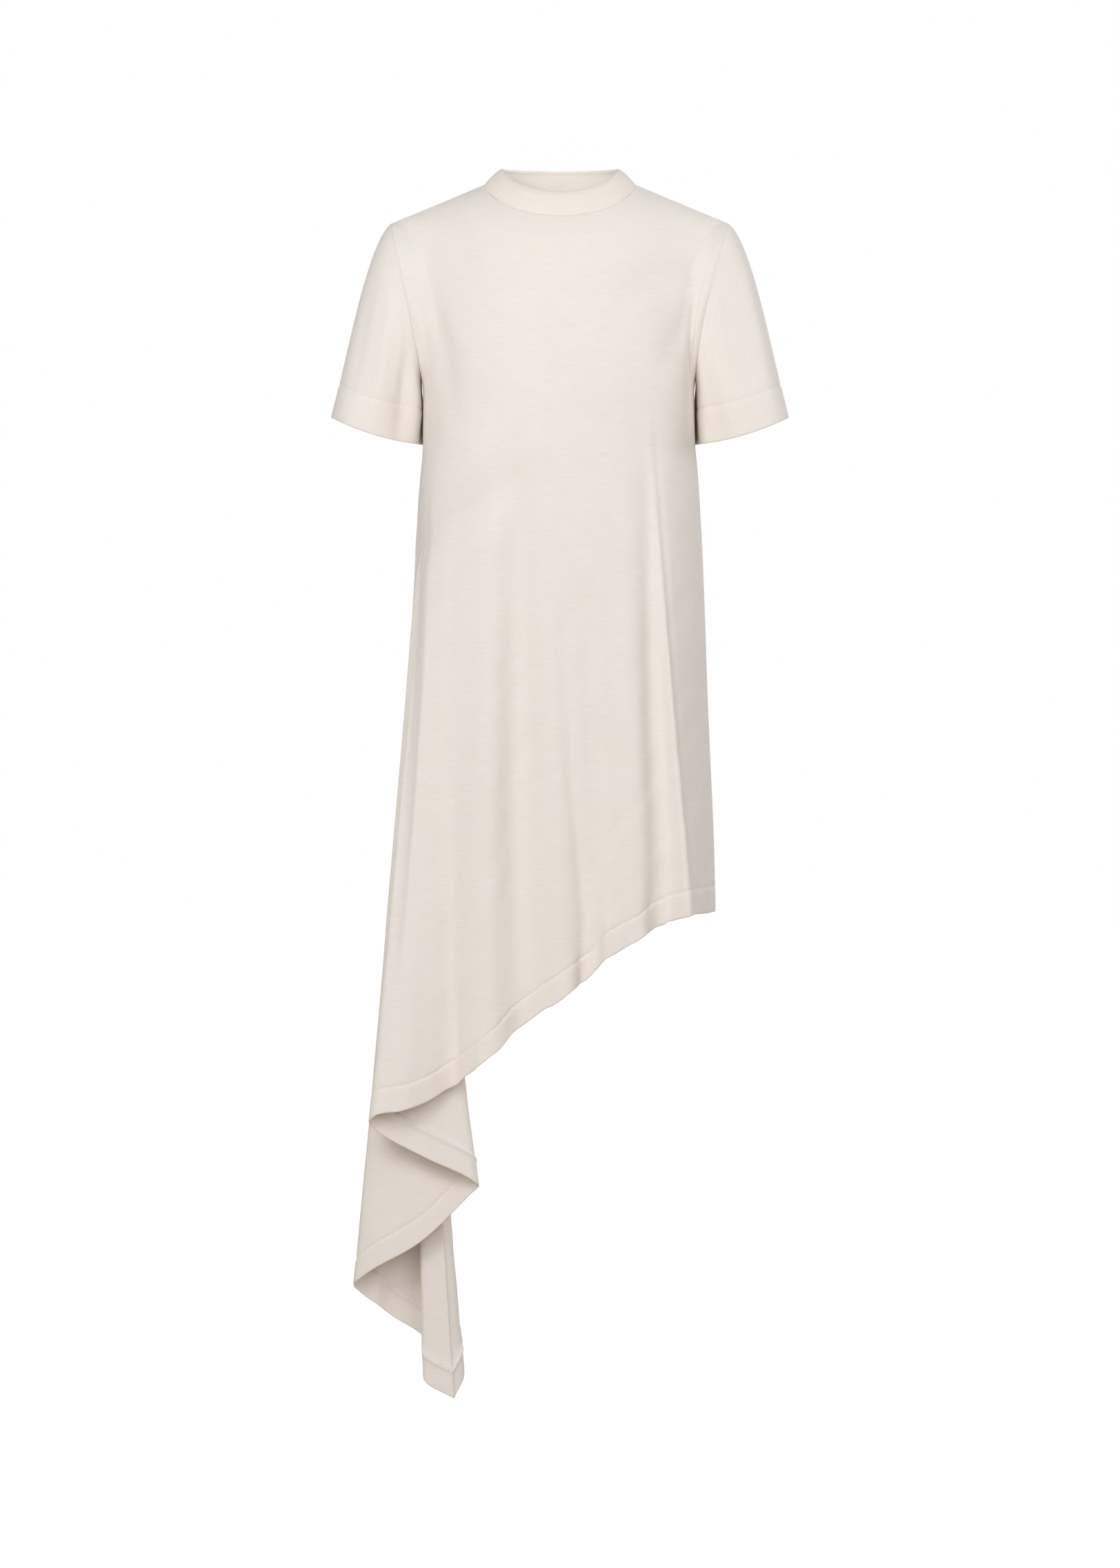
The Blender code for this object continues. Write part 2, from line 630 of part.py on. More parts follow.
def armhole_ring(side):
    """Where the panels meet a sleeve, once round from the shoulder tip, and how far round each is."""
    halves = []
    for panel, angle, above in ((front, front_angle, front_above), (back, back_angle, back_above)):
        columns = zone(angle, above, SHOULDER_ANGLE, SIDE_ANGLE, side)[::-1]
        down = (from_centre(angle[columns]) - SHOULDER_ANGLE) / (SIDE_ANGLE - SHOULDER_ANGLE)
        halves.append(([(panel, 0, column) for column in columns], down / 2))
    (first, first_share), (second, second_share) = halves if side < 0 else halves[::-1]
    ring = [[first[0], second[-1]], *([place] for place in first[1:-1])]
    ring += [[first[-1], second[0]], *([place] for place in second[1:-1])]
    return ring, np.concatenate([first_share, 1 - second_share[1:-1]])


def neck_ring():
    """Where the panels meet the neckband, once round from the right neck point."""
    front_zone = [c for c in front_above if abs(front_angle[c]) < NECK_ANGLE + ANGLE_SLACK]
    back_zone = [c for c in back_above if abs(back_angle[c] + 180) < NECK_ANGLE + ANGLE_SLACK]
    ring = [[(front, 0, front_zone[0]), (back, 0, back_zone[-1])]]
    ring += [[(front, 0, column)] for column in front_zone[1:-1]]
    ring += [[(front, 0, front_zone[-1]), (back, 0, back_zone[0])]]
    ring += [[(back, 0, column)] for column in back_zone[1:-1]]
    front_turn = front_angle[front_zone] / NECK_ANGLE * 90
    back_turn = 180 + (back_angle[back_zone[1:-1]] + 180) / NECK_ANGLE * 90
    return ring, np.concatenate([front_turn, back_turn])


def round_tangents(ring):
    points = meeting_points(ring)
    return unit(np.roll(points, -1, axis=0) - np.roll(points, 1, axis=0))


left_ring, left_share = armhole_ring(1)
right_ring, right_share = armhole_ring(-1)
collar_ring, collar_angles = neck_ring()
left = sleeve("left_sleeve", 1, left_ring, left_share)
right = sleeve("right_sleeve", -1, right_ring, right_share)
band = neck_band("neckband", collar_ring, collar_angles)

for ring, piece, row, inner_row, middle in (
    (left_ring, left, 0, 1, armhole_middle(1)),
    (right_ring, right, 0, 1, armhole_middle(-1)),
    (collar_ring, band, BAND_ROWS, BAND_ROWS - 1, None),
):
    tangents = round_tangents(ring)
    places = []
    for place, meeting in enumerate(ring):
        panels = [(panel, 0, column, (1, column)) for panel, _, column in meeting]
        places.append([*panels, (piece, row, place, (inner_row, place))])
    join_seam(places, tangents, middle)

# Side seams: the long one joins each panel's edge at -X, the short one the edges at +X.
rows = range(len(front.points))
for first, second in ((front, back), (back, front)):
    line = unit(np.gradient(first.points[:, 0], axis=0))
    places = [[(first, row, 0, (row, 1)), (second, row, -1, (row, -2))] for row in rows]
    join_seam(places[1:], line[1:])
    for piece, row, column, (_, next_column) in places[0]:
        inwards = piece.points[row, next_column] - piece.points[row, column]
        piece.points[row, column] += unit(inwards) * SEAM_GAP / 2

# Shoulder seams: both panels share the way that is square to the seam and upright.
for side in (1, -1):
    run = np.array([side * (SHOULDER_TIP_X - NECK_HALF_WIDTH), 0.0, SHOULDER_TIP_Z - NECK_POINT_Z])
    along = unit(run)
    upright = np.array([-side * along[2], 0.0, side * along[0]])
    for panel, face, angle, above in (
        (front, -1, front_angle, front_above),
        (back, 1, back_angle, back_above),
    ):
        seam = zone(angle, above, NECK_ANGLE, SHOULDER_ANGLE, side)
        panel.points[0, seam, 1] += face * SEAM_GAP / 2
        panel.outwards[0, seam[1:-1]] = upright

for piece in (front, back, left, right, band):
    wall_object(piece)
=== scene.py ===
"""T-shirt dress with a diagonal hem, in off-white slub jersey, worn and hanging free.

+X is the wearer's left, -Y the front, +Z up, in metres. The long side hangs at -X.
"""

from typing import NamedTuple

import bpy
import numpy as np
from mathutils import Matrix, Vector


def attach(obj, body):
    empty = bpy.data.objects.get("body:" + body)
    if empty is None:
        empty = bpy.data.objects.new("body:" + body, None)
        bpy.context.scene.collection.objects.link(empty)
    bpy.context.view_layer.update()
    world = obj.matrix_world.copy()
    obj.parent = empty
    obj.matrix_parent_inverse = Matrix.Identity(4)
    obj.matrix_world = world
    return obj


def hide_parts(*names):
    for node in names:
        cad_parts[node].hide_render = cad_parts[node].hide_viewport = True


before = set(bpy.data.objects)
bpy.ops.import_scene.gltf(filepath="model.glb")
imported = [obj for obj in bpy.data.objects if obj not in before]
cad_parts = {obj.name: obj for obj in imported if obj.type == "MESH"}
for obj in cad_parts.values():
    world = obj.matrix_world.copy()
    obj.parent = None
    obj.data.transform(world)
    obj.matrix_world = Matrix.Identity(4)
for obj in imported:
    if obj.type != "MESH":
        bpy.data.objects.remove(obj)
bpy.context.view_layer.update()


# ======================================== front and back panel
# The two halves of the body, each cut in one piece from cotton jersey, with the hem on a straight
# diagonal. They are sewn to each other at the shoulders and down both sides, and the spare width of
# the flared side falls in doubled-back folds. The hem is turned up once to the inside.

PLY = 0.0012
BODY_HEM_DROP = 0.034  # upright depth of the turned-up hem
HEM_STEP = 0.003  # height over which the turned-up layer starts
HEM_LEVELS = (
    *(0.0340, 0.0330, 0.0322, 0.0315, 0.0308, 0.0300, 0.0290),  # close together at the stitching
    *(0.0270, 0.0240, 0.0190, 0.0130, 0.0070, 0.0030, 0.0012),
)
FAR_ABOVE_HEM = 0.2  # stands for the level of every row above the hem
STITCH_LEVEL = 0.0308  # the row of topstitching, above the hem's edge

NECK_HALF_WIDTH = 0.090
NECK_FRONT_REACH = 0.068
NECK_BACK_REACH = 0.062
NECK_POINT_Z = 0.002
NECK_FRONT_DROP = 0.037
NECK_BACK_DROP = 0.011
NECK_DROP_POWER = 1.2
SHOULDER_TIP_X = 0.201
SHOULDER_TIP_Z = -0.044
UNDERARM_X = {1: 0.1610, -1: 0.1642}  # wearer's left and right
UNDERARM_Z = -0.232
ARMHOLE_REACH = {-1: 0.052, 1: 0.056}  # front and back
ARMHOLE_BOW = {1: 1.55, -1: 1.05}  # wearer's left and right

# Angles round the body: 0 at centre front, 90 at the wearer's left side, -90 at the right side.
NECK_ANGLE = 34.0
SHOULDER_ANGLE = 58.0
SIDE_ANGLE = 90.0
ANGLE_SLACK = 0.01  # so that a column that lies on a corner counts


class Section(NamedTuple):
    """One level round the body below the arms, before its folds open."""

    z: float
    left: float
    right: float
    front: float
    back: float
    square: float  # 2 is an ellipse, more is squarer


SECTIONS = (
    Section(-0.232, 0.1588, 0.1627, 0.1225, 0.098, 2.3),
    Section(-0.262, 0.1594, 0.1625, 0.123, 0.0985, 2.3),
    Section(-0.307, 0.1604, 0.1625, 0.1235, 0.0985, 2.3),
    Section(-0.34, 0.1635, 0.1645, 0.1225, 0.0975, 2.4),
    Section(-0.44, 0.1695, 0.172, 0.1205, 0.096, 2.5),
    Section(-0.6, 0.1755, 0.177, 0.1185, 0.096, 2.7),
    Section(-0.86, 0.185, 0.18, 0.116, 0.098, 2.9),
    Section(-1.44, 0.185, 0.18, 0.116, 0.098, 2.9),
)
CHEST_Z = -0.262


class Fold(NamedTuple):
    """One fold line: where it starts on the section above, and where it ends at the hem."""

    name: str
    angle: float
    start: float
    x: float
    y: float
    z: float
    turn: float = 0.0  # radius where the cloth doubles back, minus where the turn points to +X


FOLD_POWER = 1.3  # the folds open slowly at first and then faster towards the hem
TURN_ANGLE = 0.9  # on each side of a doubled-back fold's turn

FRONT_FOLDS = (
    Fold("long side seam", -90.0, -0.42, -0.1265, -0.047, -1.439),
    Fold("tail edge", -87.0, -0.42, -0.162, -0.037, -1.415),
    Fold("tail root", -84.0, -0.42, -0.16, -0.001, -1.374),
    Fold("fourth layer", -81.6, -0.42, -0.2, -0.006, -1.342),
    Fold("third fold", -79.2, -0.42, -0.245, -0.031, -1.305, 0.011),
    Fold("third layer", -76.8, -0.42, -0.166, -0.061, -1.253),
    Fold("second fold", -74.4, -0.42, -0.0968, -0.072, -1.1865, -0.007),
    Fold("second layer", -72.0, -0.42, -0.16, -0.086, -1.152),
    Fold("first fold", -69.6, -0.42, -0.2265, -0.1, -1.1103, 0.01),
    Fold("long side ridge", -60.0, -0.34, -0.191, -0.112, -1.0963),
    Fold("long side slope", -47.0, -0.34, -0.157, -0.101, -1.0849),
    Fold("outer trough", -38.0, -0.5, -0.131, -0.093, -1.0693),
    Fold("outer ridge", -21.0, -0.22, -0.084, -0.113, -1.033),
    Fold("middle trough", -10.5, -0.22, -0.044, -0.096, -0.995),
    Fold("middle ridge", -2.0, -0.3, 0.008, -0.112, -0.959),
    Fold("inner trough", 5.5, -0.4, 0.033, -0.098, -0.938),
    Fold("inner ridge", 13.0, -0.4, 0.062, -0.112, -0.912),
    Fold("short side ridge", 22.0, -0.25, 0.096, -0.114, -0.892),
    Fold("short side trough", 33.0, -0.25, 0.13, -0.096, -0.872),
    Fold("short side edge", 37.5, -0.25, 0.153, -0.112, -0.8655),
    Fold("short side crease", 40.5, -0.25, 0.162, -0.092, -0.8635),
    Fold("short side panel", 66.0, -0.25, 0.18, -0.035, -0.8622),
    Fold("short side seam", 90.0, -0.25, 0.1845, 0.015, -0.8618),
)
BACK_FOLDS = (
    Fold("long side seam", -90.0, -0.42, -0.1265, -0.047, -1.439),
    Fold("tail far edge", -92.6, -0.42, -0.1148, -0.03, -1.4137),
    Fold("tail far root", -95.4, -0.42, -0.121, 0.014, -1.378),
    Fold("sixth fold", -99.4, -0.42, -0.223, 0.03, -1.311, 0.007),
    Fold("fifth fold", -103.4, -0.42, -0.132, 0.047, -1.245, -0.006),
    Fold("fourth fold", -107.4, -0.42, -0.227, 0.062, -1.182, 0.006),
    Fold("third fold", -111.4, -0.42, -0.162, 0.077, -1.14, -0.006),
    Fold("second fold", -115.4, -0.42, -0.223, 0.092, -1.1, 0.007),
    Fold("long side ridge", -126.0, -0.4, -0.185, 0.105, -1.074),
    Fold("long side trough", -139.0, -0.4, -0.132, 0.093, -1.045),
    Fold("outer ridge", -152.0, -0.4, -0.083, 0.107, -1.018),
    Fold("middle trough", -167.0, -0.45, -0.035, 0.093, -0.983),
    Fold("middle ridge", -181.0, -0.4, 0.013, 0.108, -0.948),
    Fold("inner trough", -196.0, -0.4, 0.06, 0.093, -0.909),
    Fold("inner ridge", -211.0, -0.36, 0.102, 0.106, -0.885),
    Fold("short side trough", -227.0, -0.36, 0.142, 0.091, -0.867),
    Fold("short side slope", -246.0, -0.3, 0.172, 0.062, -0.864),
    Fold("short side seam", -270.0, -0.25, 0.1845, 0.015, -0.8618),
)


class Rise(NamedTuple):
    """The way a column of cloth leaves the panel's upper edge, as a share of its height."""

    angle: float
    inwards: float
    outwards: float
    down: float


SHOULDER_RISES = (
    Rise(SHOULDER_ANGLE, 0.55, 0.62, 0.22),
    Rise(66.0, 0.62, 0.36, 0.45),
    Rise(76.0, 0.6, 0.14, 0.7),
    Rise(SIDE_ANGLE, 0.25, 0.0, 0.9),
)
FRONT_RISES = (
    Rise(0.0, 0.0, 0.55, 0.7),
    Rise(18.0, 0.0, 0.62, 0.55),
    Rise(NECK_ANGLE, 0.0, 0.85, 0.2),
    *SHOULDER_RISES,
)
BACK_RISES = (
    Rise(0.0, 0.0, 0.7, 0.55),
    Rise(18.0, 0.0, 0.75, 0.45),
    Rise(NECK_ANGLE, 0.0, 0.9, 0.2),
    *SHOULDER_RISES,
)
YOKE_GUIDES = (
    *(0.0, 9.0, 18.0, 26.0, NECK_ANGLE, 42.0, 50.0, SHOULDER_ANGLE),
    *(62.0, 66.0, 70.5, 75.0, 80.0, 85.0, SIDE_ANGLE),
)
EASE_ROUNDS = 6  # times that the cloth between the guides is evened out
EASE_SHARE = 0.5
EDGE_FADE = 10  # the higher, the sooner the upper edge's own shape fades below it


class Crease(NamedTuple):
    """A soft crease, placed as seen from the front or the back. Depth is minus for a trough."""

    x: float
    z: float
    end_x: float
    end_z: float
    bend: float  # how far its middle stands aside
    width: float
    depth: float


FRONT_CREASES = (
    Crease(-0.17, -0.085, -0.128, -0.3, -0.01, 0.013, -0.004),
    Crease(-0.185, -0.06, -0.15, -0.19, -0.006, 0.008, 0.0018),
    Crease(-0.205, -0.4, -0.045, -0.265, 0.0, 0.026, 0.003),
    Crease(-0.205, -0.46, -0.045, -0.335, 0.0, 0.02, -0.006),
    Crease(0.172, -0.092, 0.06, -0.15, 0.01, 0.015, -0.0034),
    Crease(0.165, -0.14, 0.118, -0.23, 0.006, 0.013, -0.003),
    Crease(-0.088, -0.26, -0.088, -0.9, 0.002, 0.018, 0.0032),
    Crease(-0.049, -0.27, -0.046, -0.98, 0.003, 0.018, -0.0078),
    Crease(-0.124, -0.64, -0.132, -1.18, 0.002, 0.011, -0.0042),
    Crease(-0.154, -0.42, -0.194, -0.98, -0.005, 0.005, 0.0022),
    Crease(-0.165, -0.44, -0.205, -0.99, -0.007, 0.01, -0.0034),
    Crease(0.0, -0.48, 0.037, -0.96, 0.003, 0.006, -0.0036),
    Crease(0.014, -0.5, 0.052, -0.9, 0.003, 0.011, 0.0026),
    Crease(0.076, -0.33, 0.098, -0.94, 0.003, 0.014, 0.0026),
    Crease(0.101, -0.29, 0.122, -0.96, 0.0, 0.013, -0.0056),
    Crease(0.107, -0.23, 0.166, -1.02, 0.0, 0.007, 0.0012),
    Crease(0.11, -0.25, 0.174, -0.96, 0.004, 0.004, -0.0026),
    Crease(0.144, -0.26, 0.176, -0.93, 0.0, 0.02, -0.0045),
    # Short tucks that the hem's stitching draws up, deepest at the edge.
    Crease(-0.122, -0.935, -0.126, -1.14, 0.0, 0.007, -0.003),
    Crease(-0.098, -0.99, -0.09, -1.12, 0.0, 0.006, 0.0018),
    Crease(-0.024, -0.93, -0.018, -1.06, 0.0, 0.006, 0.0018),
    Crease(0.024, -0.88, 0.028, -1.005, 0.0, 0.0045, -0.0034),
    Crease(0.044, -0.872, 0.046, -0.975, 0.0, 0.004, -0.0024),
    Crease(0.057, -0.86, 0.058, -0.96, 0.0, 0.0055, 0.0026),
    Crease(0.08, -0.85, 0.082, -0.95, 0.0, 0.005, -0.002),
    Crease(0.111, -0.8, 0.113, -0.935, 0.0, 0.016, -0.004),
    Crease(0.138, -0.82, 0.14, -0.91, 0.0, 0.006, 0.0016),
)
BACK_CREASES = (
    Crease(-0.172, -0.09, -0.12, -0.31, -0.012, 0.014, -0.0036),
    Crease(0.172, -0.09, 0.124, -0.28, 0.01, 0.013, -0.0032),
    Crease(-0.03, -0.3, -0.05, -0.82, 0.006, 0.016, -0.0024),
    Crease(0.07, -0.34, 0.06, -0.7, -0.004, 0.011, -0.002),
    Crease(0.02, -0.14, 0.01, -0.42, 0.003, 0.014, -0.0016),
    Crease(-0.11, -0.36, -0.135, -0.76, 0.003, 0.01, 0.0016),
    Crease(0.12, -0.3, 0.136, -0.62, 0.002, 0.009, -0.0015),
)


class LayerCrease(NamedTuple):
    """A crease down one layer of the long side's folds, which hangs behind others."""

    angle: float
    top: float
    bottom: float
    width: float  # in degrees, as the angle is
    depth: float


FRONT_LAYER_CREASES = (
    LayerCrease(-80.8, -1.18, -1.46, 0.3, -0.004),
    LayerCrease(-80.2, -1.2, -1.42, 0.26, 0.0022),
    LayerCrease(-76.0, -1.06, -1.33, 0.4, -0.002),
    LayerCrease(-71.4, -1.0, -1.3, 0.4, 0.0018),
)
BACK_LAYER_CREASES = (
    LayerCrease(-101.0, -1.1, -1.42, 0.6, -0.0026),
    LayerCrease(-109.0, -1.0, -1.3, 0.6, 0.0022),
)


class HemTuck(NamedTuple):
    """A tuck that pulls the hem's edge: lower before it and higher after it, going towards +X."""

    x: float
    width: float
    rise: float


FRONT_HEM_TUCKS = (
    HemTuck(-0.118, 0.009, 0.0016),
    HemTuck(-0.064, 0.012, 0.004),
    HemTuck(-0.012, 0.01, -0.0014),
    HemTuck(0.041, 0.013, 0.0042),
    HemTuck(0.085, 0.01, -0.0012),
    HemTuck(0.1255, 0.005, 0.0026),
)
BACK_HEM_TUCKS = (
    HemTuck(-0.09, 0.012, 0.0026),
    HemTuck(-0.02, 0.014, -0.0018),
    HemTuck(0.055, 0.011, 0.0032),
    HemTuck(0.118, 0.008, 0.0018),
)

HEM_SPACING = 0.0056  # between columns along the hem, at most
ANGLE_SPACING = 1.0  # and round the body
LEAST_SPACING = 0.0006
HEM_SAMPLES = 6000
EDGE_STEPS = (0.0009, 0.0020, 0.0034)  # extra columns close to the side seams
UPPER_SHARES = np.concatenate([[0.0, 0.003, 0.008, 0.016, 0.028], np.linspace(0.045, 1.0, 34)[:-1]])
LOWER_ROWS = 112
GRAIN_LEVELS = 60
RIM_STEPS = 4
SHARP_ANGLE = 1.0  # a cut edge at a seam stays crisp, a rounded one smooth

SEAM_DIP = 0.0011  # how far a seam draws the cloth in
SEAM_DIP_WIDTH = 0.0026
NECK_FADE_ANGLE = 5.0  # the neckband's seam is pressed flat, up to this far from the shoulder seam
STITCH_DIP = 0.0009
STITCH_DIP_WIDTH = 0.0020
HEM_PUFF = 0.0005  # the doubled cloth of a hem stands out this much
PUCKER = 0.00036
PUCKER_LENGTH = 0.017
PUCKER_WIDTH = 0.009
PUCKER_SLANT = 160.0  # radians for each metre across the stitching
PUCKER_SWAY = 2.2  # radians by which the puckers' rhythm wanders
PUCKER_SWAY_RATE = 31.0
RIPPLE = 0.00030
RIPPLE_WIDTHS = np.linspace(0.045, 0.164, 8)
RIPPLE_HEIGHTS = np.linspace(0.95, 0.32, 8)
RIPPLE_PHASE = 1.9
RIPPLE_FADE = 0.020
CREASE_FADE_POWER = 0.8
HEM_WAVE = 0.0004  # how far the hem's edge wanders up and down
HEM_WAVE_LENGTHS = (0.083, 0.047)
HEM_WAVE_SHARE = 0.6  # of the shorter wave
HEM_WAVE_PHASE = 1.1
HEM_WAVE_SWAY = 2.7
HEM_WAVE_SWAY_RATE = 9.0
HEM_WAVE_REACH = 0.060
HEM_WAVE_START = 0.120  # it starts this far from the side seams
CASCADE_ANGLE = 24.0  # the doubled-back folds reach this far round from the long side's seam
CASCADE_FADE_ANGLE = 6.0
CASCADE_TOP = -1.0  # above this they are still one layer
CASCADE_FADE = 0.1


def unit(vectors):
    return vectors / np.maximum(np.linalg.norm(vectors, axis=-1, keepdims=True), 1e-12)


def distances(points, axis=0):
    """How far each point lies along its row or its column, over the cloth."""
    steps = np.linalg.norm(np.diff(points, axis=axis), axis=-1)
    return np.insert(np.cumsum(steps, axis=axis), 0, 0.0, axis=axis)


def hermite(start, leave, end, arrive, t):
    return (
        (2 * t**3 - 3 * t**2 + 1) * start
        + (t**3 - 2 * t**2 + t) * leave
        + (3 * t**2 - 2 * t**3) * end
        + (t**3 - t**2) * arrive
    )


def smooth_through(knots, values, at):
    """A curve through values at knots that never swings past them."""
    steps = np.diff(knots)[:, None]
    rises = np.diff(values, axis=0) / steps
    before, after = rises[:-1], rises[1:]
    turning = before * after <= 0
    weight_before = 2 * steps[1:] + steps[:-1]
    weight_after = steps[1:] + 2 * steps[:-1]
    weighed = weight_before / np.where(turning, 1.0, before) + weight_after / np.where(turning, 1.0, after)
    mean = (weight_before + weight_after) / weighed
    slopes = np.vstack([rises[:1], np.where(turning, 0.0, mean), rises[-1:]])
    index = np.clip(np.searchsorted(knots, at, side="right") - 1, 0, len(steps) - 1)
    length = steps[index]
    t = (at - knots[index])[:, None] / length
    return hermite(values[index], slopes[index] * length, values[index + 1], slopes[index + 1] * length, t)


def section_point(angle, z):
    """The plain form of the body at an angle and a height."""
    heights = np.array([-section.z for section in SECTIONS])
    forms = np.array([section[1:] for section in SECTIONS])
    left, right, front, back, square = smooth_through(heights, forms, np.maximum(-z, heights[0])).T
    across = np.sin(np.radians(angle))
    forward = np.cos(np.radians(angle))
    half_width = np.where(across > 0, left, right)
    reach = np.where(forward > 0, front, back)
    x = half_width * np.sign(across) * np.abs(across) ** (2 / square)
    y = -reach * np.sign(forward) * np.abs(forward) ** (2 / square)
    return np.stack([x, y, z], axis=-1)


def hem_line(folds, face):
    """Rows of angle, start, x, y and z along the hem, each doubled-back fold drawn as a round turn."""
    rows = []
    for fold in folds:
        if not fold.turn:
            rows.append((fold.angle, fold.start, fold.x, fold.y, fold.z))
            continue
        radius = abs(fold.turn)
        for side in (-1, 0, 1):
            angle = fold.angle - side * face * TURN_ANGLE
            x = fold.x + abs(side) * fold.turn
            rows.append((angle, fold.start, x, fold.y + side * face * radius, fold.z + side * radius))
    return np.array(rows)


def hem_columns(folds, face):
    """The same rows for every column of the panel, close together where the hem or the body turns."""
    rows = hem_line(folds, face)
    along = distances(rows[:, 2:4])
    dense = np.linspace(0.0, along[-1], HEM_SAMPLES)
    angle = smooth_through(along, rows[:, :1], dense)[:, 0]
    needed = np.maximum(np.diff(dense) / HEM_SPACING, np.abs(np.diff(angle)) / ANGLE_SPACING)
    counted = np.concatenate([[0.0], np.cumsum(needed)])
    places = np.interp(np.linspace(0.0, counted[-1], int(np.ceil(counted[-1])) + 1), counted, dense)
    turned = np.abs(angle - rows[0, 0])
    corner = np.array([SHOULDER_ANGLE, NECK_ANGLE])
    corners = np.sort(np.concatenate([SIDE_ANGLE - corner, SIDE_ANGLE + corner]))
    fixed = np.interp(corners, turned, dense)
    extra = np.concatenate([fixed, EDGE_STEPS, along[-1] - np.array(EDGE_STEPS)])
    kept = [place for place in places if np.abs(extra - place).min() > LEAST_SPACING]
    places = np.sort(np.concatenate([kept, extra]))
    columns = smooth_through(along, rows, places)
    columns[np.searchsorted(places, fixed), 0] = rows[0, 0] - face * corners
    return columns


def folded_point(columns, z):
    """Each column's point at its height z, between the plain section and the folded hem."""
    angle, start, x, y, hem_z = columns.T
    opened = np.clip((start - z) / (start - hem_z), 0.0, None) ** FOLD_POWER
    plain = section_point(angle, z)
    plain_at_hem = section_point(angle, hem_z)
    plain[:, 0] += (x - plain_at_hem[:, 0]) * opened
    plain[:, 1] += (y - plain_at_hem[:, 1]) * opened
    return plain


def from_centre(angle):
    """How far an angle lies from centre front or centre back, whichever is nearer."""
    turned = np.abs((angle + 180) % 360 - 180)
    return np.minimum(turned, 180 - turned)


def neck_point(angle):
    """The neck seam, where angle runs once round from centre front."""
    across = np.sin(np.radians(angle))
    forward = np.cos(np.radians(angle))
    reach = np.where(forward > 0, NECK_FRONT_REACH, NECK_BACK_REACH)
    drop = np.where(forward > 0, NECK_FRONT_DROP, NECK_BACK_DROP)
    z = NECK_POINT_Z - drop * np.abs(forward) ** NECK_DROP_POWER
    return np.stack([NECK_HALF_WIDTH * across, -reach * forward, z], axis=-1)


def armhole_point(side, share, face):
    """The armhole seam, share 0 at the shoulder tip and 1 at the underarm."""
    down = (1 - np.cos(np.pi * share)) / 2
    x = side * (UNDERARM_X[side] + (SHOULDER_TIP_X - UNDERARM_X[side]) * (1 - down) ** ARMHOLE_BOW[side])
    y = face * ARMHOLE_REACH[face] * np.sin(np.pi * share)
    z = SHOULDER_TIP_Z + (UNDERARM_Z - SHOULDER_TIP_Z) * down
    return np.array([x, y, z])


def upper_edge(angle, face):
    """Where a column meets the neckline, the shoulder seam or the armhole."""
    turned = from_centre(angle)
    side = 1 if np.sin(np.radians(angle)) > 0 else -1
    if turned <= NECK_ANGLE:
        share = turned / NECK_ANGLE
        return neck_point(np.array(side * (share * 90 if face < 0 else 180 - share * 90)))
    if turned <= SHOULDER_ANGLE:
        share = (turned - NECK_ANGLE) / (SHOULDER_ANGLE - NECK_ANGLE)
        neck = np.array([side * NECK_HALF_WIDTH, 0.0, NECK_POINT_Z])
        tip = np.array([side * SHOULDER_TIP_X, 0.0, SHOULDER_TIP_Z])
        return neck + (tip - neck) * share
    return armhole_point(side, (turned - SHOULDER_ANGLE) / (SIDE_ANGLE - SHOULDER_ANGLE), face)


def yoke(face, rises):
    """How far the cloth lies from its chest point, row by row from its upper edge, at each guide."""
    guides = np.array([-angle for angle in YOKE_GUIDES[:0:-1]] + list(YOKE_GUIDES))
    angle = guides if face < 0 else 180 - guides
    top = np.array([upper_edge(one, face) for one in angle])
    chest = section_point(angle, np.full(len(angle), CHEST_Z))
    below = section_point(angle, np.full(len(angle), CHEST_Z - HEM_STEP))
    height = np.linalg.norm(chest - top, axis=1)[:, None]
    table = np.array(rises)
    inwards, outwards, down = (np.interp(np.abs(guides), table[:, 0], column) for column in table[:, 1:].T)
    leave = np.stack([-np.sign(guides) * inwards, face * outwards, -down], axis=1) * height
    arrive = unit(below - chest) * height
    away = np.array([hermite(top, leave, chest, arrive, share) - chest for share in UPPER_SHARES])
    ease = EASE_SHARE * np.sqrt(UPPER_SHARES[1:, None, None]) * (height[1:-1] / height.max()) ** 2
    for _ in range(EASE_ROUNDS):
        across = (away[1:, :-2] + away[1:, 2:]) / 2 - away[1:, 1:-1]
        away[1:, 1:-1] += across * ease
    return guides, away


def panel_points(columns, face, rises):
    """The panel's cloth, row by row from the upper edge to the hem."""
    angle = columns[:, 0]
    chest = folded_point(columns, np.full(len(columns), CHEST_Z))
    top = np.array([upper_edge(one, face) for one in angle])
    guides, away = yoke(face, rises)
    place = np.sign(np.sin(np.radians(angle))) * from_centre(angle)
    own = top - chest - smooth_through(guides, away[0], place)
    rows = [
        chest + smooth_through(guides, row, place) + own * (1 - share) ** EDGE_FADE
        for row, share in zip(away, UPPER_SHARES)
    ]
    hem_z = columns[:, 4]
    fall = hem_z + BODY_HEM_DROP + HEM_STEP - CHEST_Z
    rows += [folded_point(columns, CHEST_Z + fall * share) for share in np.linspace(0, 1, LOWER_ROWS)]
    rows += [folded_point(columns, hem_z + level) for level in HEM_LEVELS]
    return np.array(rows)


